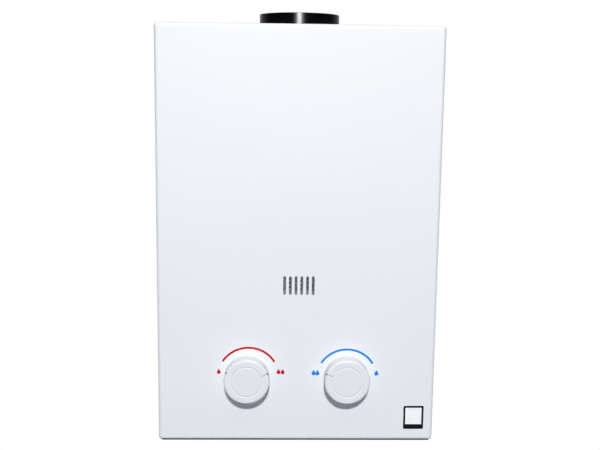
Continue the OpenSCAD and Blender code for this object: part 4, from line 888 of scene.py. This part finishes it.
def connector(name):
    """Rows of (height, radius) round the connector's axis, with a helical groove where the thread is."""
    low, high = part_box(name)
    z_thread = np.linspace(low.z, THREAD_TOP, THREAD_ROWS)
    wave = (z_thread[:, None] / THREAD_PITCH - TURN / (2 * np.pi)) % 1.0
    groove = THREAD_DEPTH * np.clip(GROOVE_PEAK - np.abs(2 * wave - 1) * GROOVE_SLOPE, 0, 1)
    started = np.minimum(1.0, (z_thread - low.z) / LEAD_IN)[:, None]
    r_thread = np.minimum(CREST - groove, CREST - THREAD_DEPTH * (1 - started))
    shank = np.array([
        (THREAD_TOP, CREST - UNDERCUT),
        (THREAD_TOP + UNDERCUT_HEIGHT, CREST - UNDERCUT),
        (THREAD_TOP + UNDERCUT_HEIGHT, CREST),
        (high.z - TOP_CHAMFER, CREST),
        (high.z, CREST - TOP_CHAMFER),
        (high.z, BORE + BORE_CHAMFER),
        (high.z - BORE_CHAMFER, BORE),
        (low.z + MOUTH_CHAMFER, BORE),
        (low.z, BORE + MOUTH_CHAMFER),
    ])
    r = np.concatenate([r_thread, np.repeat(shank[:, 1:], len(TURN), 1)])
    z = np.concatenate([z_thread, shank[:, 0]])
    return turned(plan_middle(name), r, z)


thread_length = THREAD_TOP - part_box("gas_inlet")[0].z
print("threads of", round(thread_length / THREAD_PITCH, 1), "turns")


# %% [markdown]
# Each connector has a hexagon over the shelf, and a nut under it locks it. A cylinder with six sides
# could be bevelled by hand. Here the radius is the smaller of a flat's and a cone's, which gives the
# curved chamfer that turning leaves on the corners.

# %% Hexagons
HEX_FLATS, HEX_HEIGHT, SHELF_TOP = 27 * MM, 8 * MM, 3.2 * MM - HANG_Z
HEX_ROWS = np.array([0.0, 0.0, 0.06, 0.14, 0.22, 0.78, 0.86, 0.94, 1.0, 1.0])
CONE_START, CONE_SLOPE = 0.985, 1.75
NUT_ROOM = 0.1 * MM


def hexagon(axis, z0, z1, bore):
    """r = min(flats / 2 / cos(angle from a flat's middle), cone); the end rows are the bore."""
    flat = HEX_FLATS / 2 / np.cos((TURN % (np.pi / 3)) - np.pi / 6)
    z = z0 + (z1 - z0) * HEX_ROWS
    from_end = np.minimum(z - z0, z1 - z)[:, None]
    r = np.minimum(flat, HEX_FLATS / 2 * CONE_START + CONE_SLOPE * from_end)
    r[0] = r[-1] = bore
    return turned(axis, r, z)


for name in CONNECTORS:
    shoulder = hexagon(plan_middle(name), SHELF_TOP, SHELF_TOP + HEX_HEIGHT, CREST)
    piece = surface(name + "_threaded", [connector(name), shoulder])
    crease(piece, degrees=40)
    fit_piece(piece, FINISHES["brass"], stands_for=[name])

nut_low, nut_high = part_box("lock_nuts")
nut_patches = [hexagon(plan_middle(name), nut_low.z, nut_high.z, CREST + NUT_ROOM) for name in CONNECTORS]
nuts = surface("lock_nuts_chamfered", nut_patches)
crease(nuts, degrees=30)
fit_piece(nuts, FINISHES["brass"], stands_for=["lock_nuts"])


# %% [markdown]
# Cover, collar and shelf screws are pan heads with a cross recess. A Boolean could cut the cross, but it
# leaves ragged faces. Here the head is a grid of rings and spokes whose height is a low dome, and the
# recess is taken from that height where the point lies inside either arm of the cross, deeper towards
# the middle.

# %% Screws
HEAD_RADIUS, HEAD_HEIGHT, DOME_FALL = 3.5 * MM, 2.2 * MM, 0.55
SHANK_RADIUS, SHANK_POINT = 1.75 * MM, 0.8 * MM
ARM_LENGTH, ARM_WIDTH, ARM_END, ARM_SIDE = 2.1 * MM, 0.55 * MM, 0.3 * MM, 0.15 * MM
RECESS, RECESS_FADE = 1.3 * MM, 0.5
HEAD_RINGS = np.concatenate([np.linspace(0, 0.66, 26), [0.72, 0.8, 0.87, 0.93, 0.97, 1.0]])[:, None]
HEAD_SPOKES = 72
SAME_PLACE_DIGITS = 4


def pan_head(seat, up, length):
    """Height over the seat: a dome, less the cross; then the rim, the seat and the shank's end."""
    turn = np.linspace(0, 2 * np.pi, HEAD_SPOKES, endpoint=False)
    x = HEAD_RINGS * HEAD_RADIUS * np.cos(turn)
    y = HEAD_RINGS * HEAD_RADIUS * np.sin(turn)
    long_way = np.maximum(np.abs(x), np.abs(y))
    short_way = np.minimum(np.abs(x), np.abs(y))
    in_width = np.clip((ARM_WIDTH - short_way) / ARM_SIDE, 0, 1)
    in_length = np.clip((ARM_LENGTH - long_way) / ARM_END, 0, 1)
    cross = in_width * in_length * RECESS * (1 - RECESS_FADE * long_way / ARM_LENGTH)
    dome = HEAD_HEIGHT * (1 - DOME_FALL * HEAD_RINGS ** 4)
    below = [(HEAD_RADIUS, 0.0), (SHANK_RADIUS, 0.0), (SHANK_RADIUS, SHANK_POINT - length), (0.0, -length)]
    r_below, h_below = np.array(below).T[:, :, None]
    x = np.concatenate([x, r_below * np.cos(turn)])
    y = np.concatenate([y, r_below * np.sin(turn)])
    h = np.concatenate([dome - cross, np.repeat(h_below, HEAD_SPOKES, 1)])
    return np.stack([seat[0] + x, seat[1] + y * up, seat[2] + h * up], -1), False, True


def solids_of(node):
    """Low and high corner of each loose solid: joined points take the smallest number among them."""
    mesh = frame["nodes"][node].data
    points = np.empty((len(mesh.vertices), 3), np.float32)
    mesh.vertices.foreach_get("co", points.ravel())
    ends = np.empty((len(mesh.edges), 2), np.int32)
    mesh.edges.foreach_get("vertices", ends.ravel())
    _, place = np.unique(points.round(SAME_PLACE_DIGITS), axis=0, return_inverse=True)
    place = place.ravel()
    one, other = place[ends].T
    label = np.arange(place.max() + 1)
    settled = False
    while not settled:
        lowest = label.copy()
        np.minimum.at(lowest, one, label[other])
        np.minimum.at(lowest, other, label[one])
        settled = np.array_equal(lowest, label)
        label = lowest
    solid = label[place]
    return [(points[solid == k].min(0), points[solid == k].max(0)) for k in np.unique(solid)]


def screw_set(node):
    """A cross-head screw in the place of each solid of the node; over the origin the heads are up."""
    patches = []
    for low, high in solids_of(node):
        up = 1 if high[2] > 0 else -1
        seat_z = high[2] - HEAD_HEIGHT if up > 0 else low[2] + HEAD_HEIGHT
        seat = ((low[0] + high[0]) / 2, (low[1] + high[1]) / 2, seat_z)
        patches.append(pan_head(seat, up, high[2] - low[2] - HEAD_HEIGHT))
    piece = surface(node + "_cross_head", patches)
    crease(piece, degrees=50)
    fit_piece(piece, FINISHES["steel"], stands_for=[node])


for node in ("cover_screws", "collar_screws", "shelf_screws"):
    screw_set(node)


# %% [markdown]
# Inside the gas valve a steel spring holds the plug on its seat. It is round wire along a helix, which a
# curve with a bevel could draw. A plain mesh could be squeezed, and here the spring is drawn at rest. When
# water pushes the rod, the plug slides back and the spring is squashed towards its fixed end by a little
# more than the rod travels.

# %% Valve spring
SPRING_TURNS, SPRING_WIRE, SPRING_SLACK = 6, 0.8 * MM, 0.1 * MM
COIL_STEPS, COIL_SIDES = 240, 12


def coil(low, high):
    """A tube round the helix (x, r cos(2 pi n s), r sin(2 pi n s)), where x runs end to end with s."""
    s = np.linspace(0, 1, COIL_STEPS)[:, None]
    turn = 2 * np.pi * SPRING_TURNS * s
    around = np.linspace(0, 2 * np.pi, COIL_SIDES, endpoint=False)
    run = high.x - low.x - 2 * SPRING_WIRE
    r = (high.y - low.y) / 2 - SPRING_WIRE + SPRING_WIRE * np.cos(around)
    x = low.x + SPRING_WIRE + run * s + SPRING_WIRE * np.sin(around)
    y = (low.y + high.y) / 2 + r * np.cos(turn)
    z = (low.z + high.z) / 2 + r * np.sin(turn)
    return capped(np.stack([x, y, z], -1))


spring_low, spring_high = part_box("valve_spring")
spring = surface("valve_spring_wire", [coil(spring_low, spring_high)])
fit_piece(spring, FINISHES["steel"], stands_for=["valve_spring"])
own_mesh(spring)
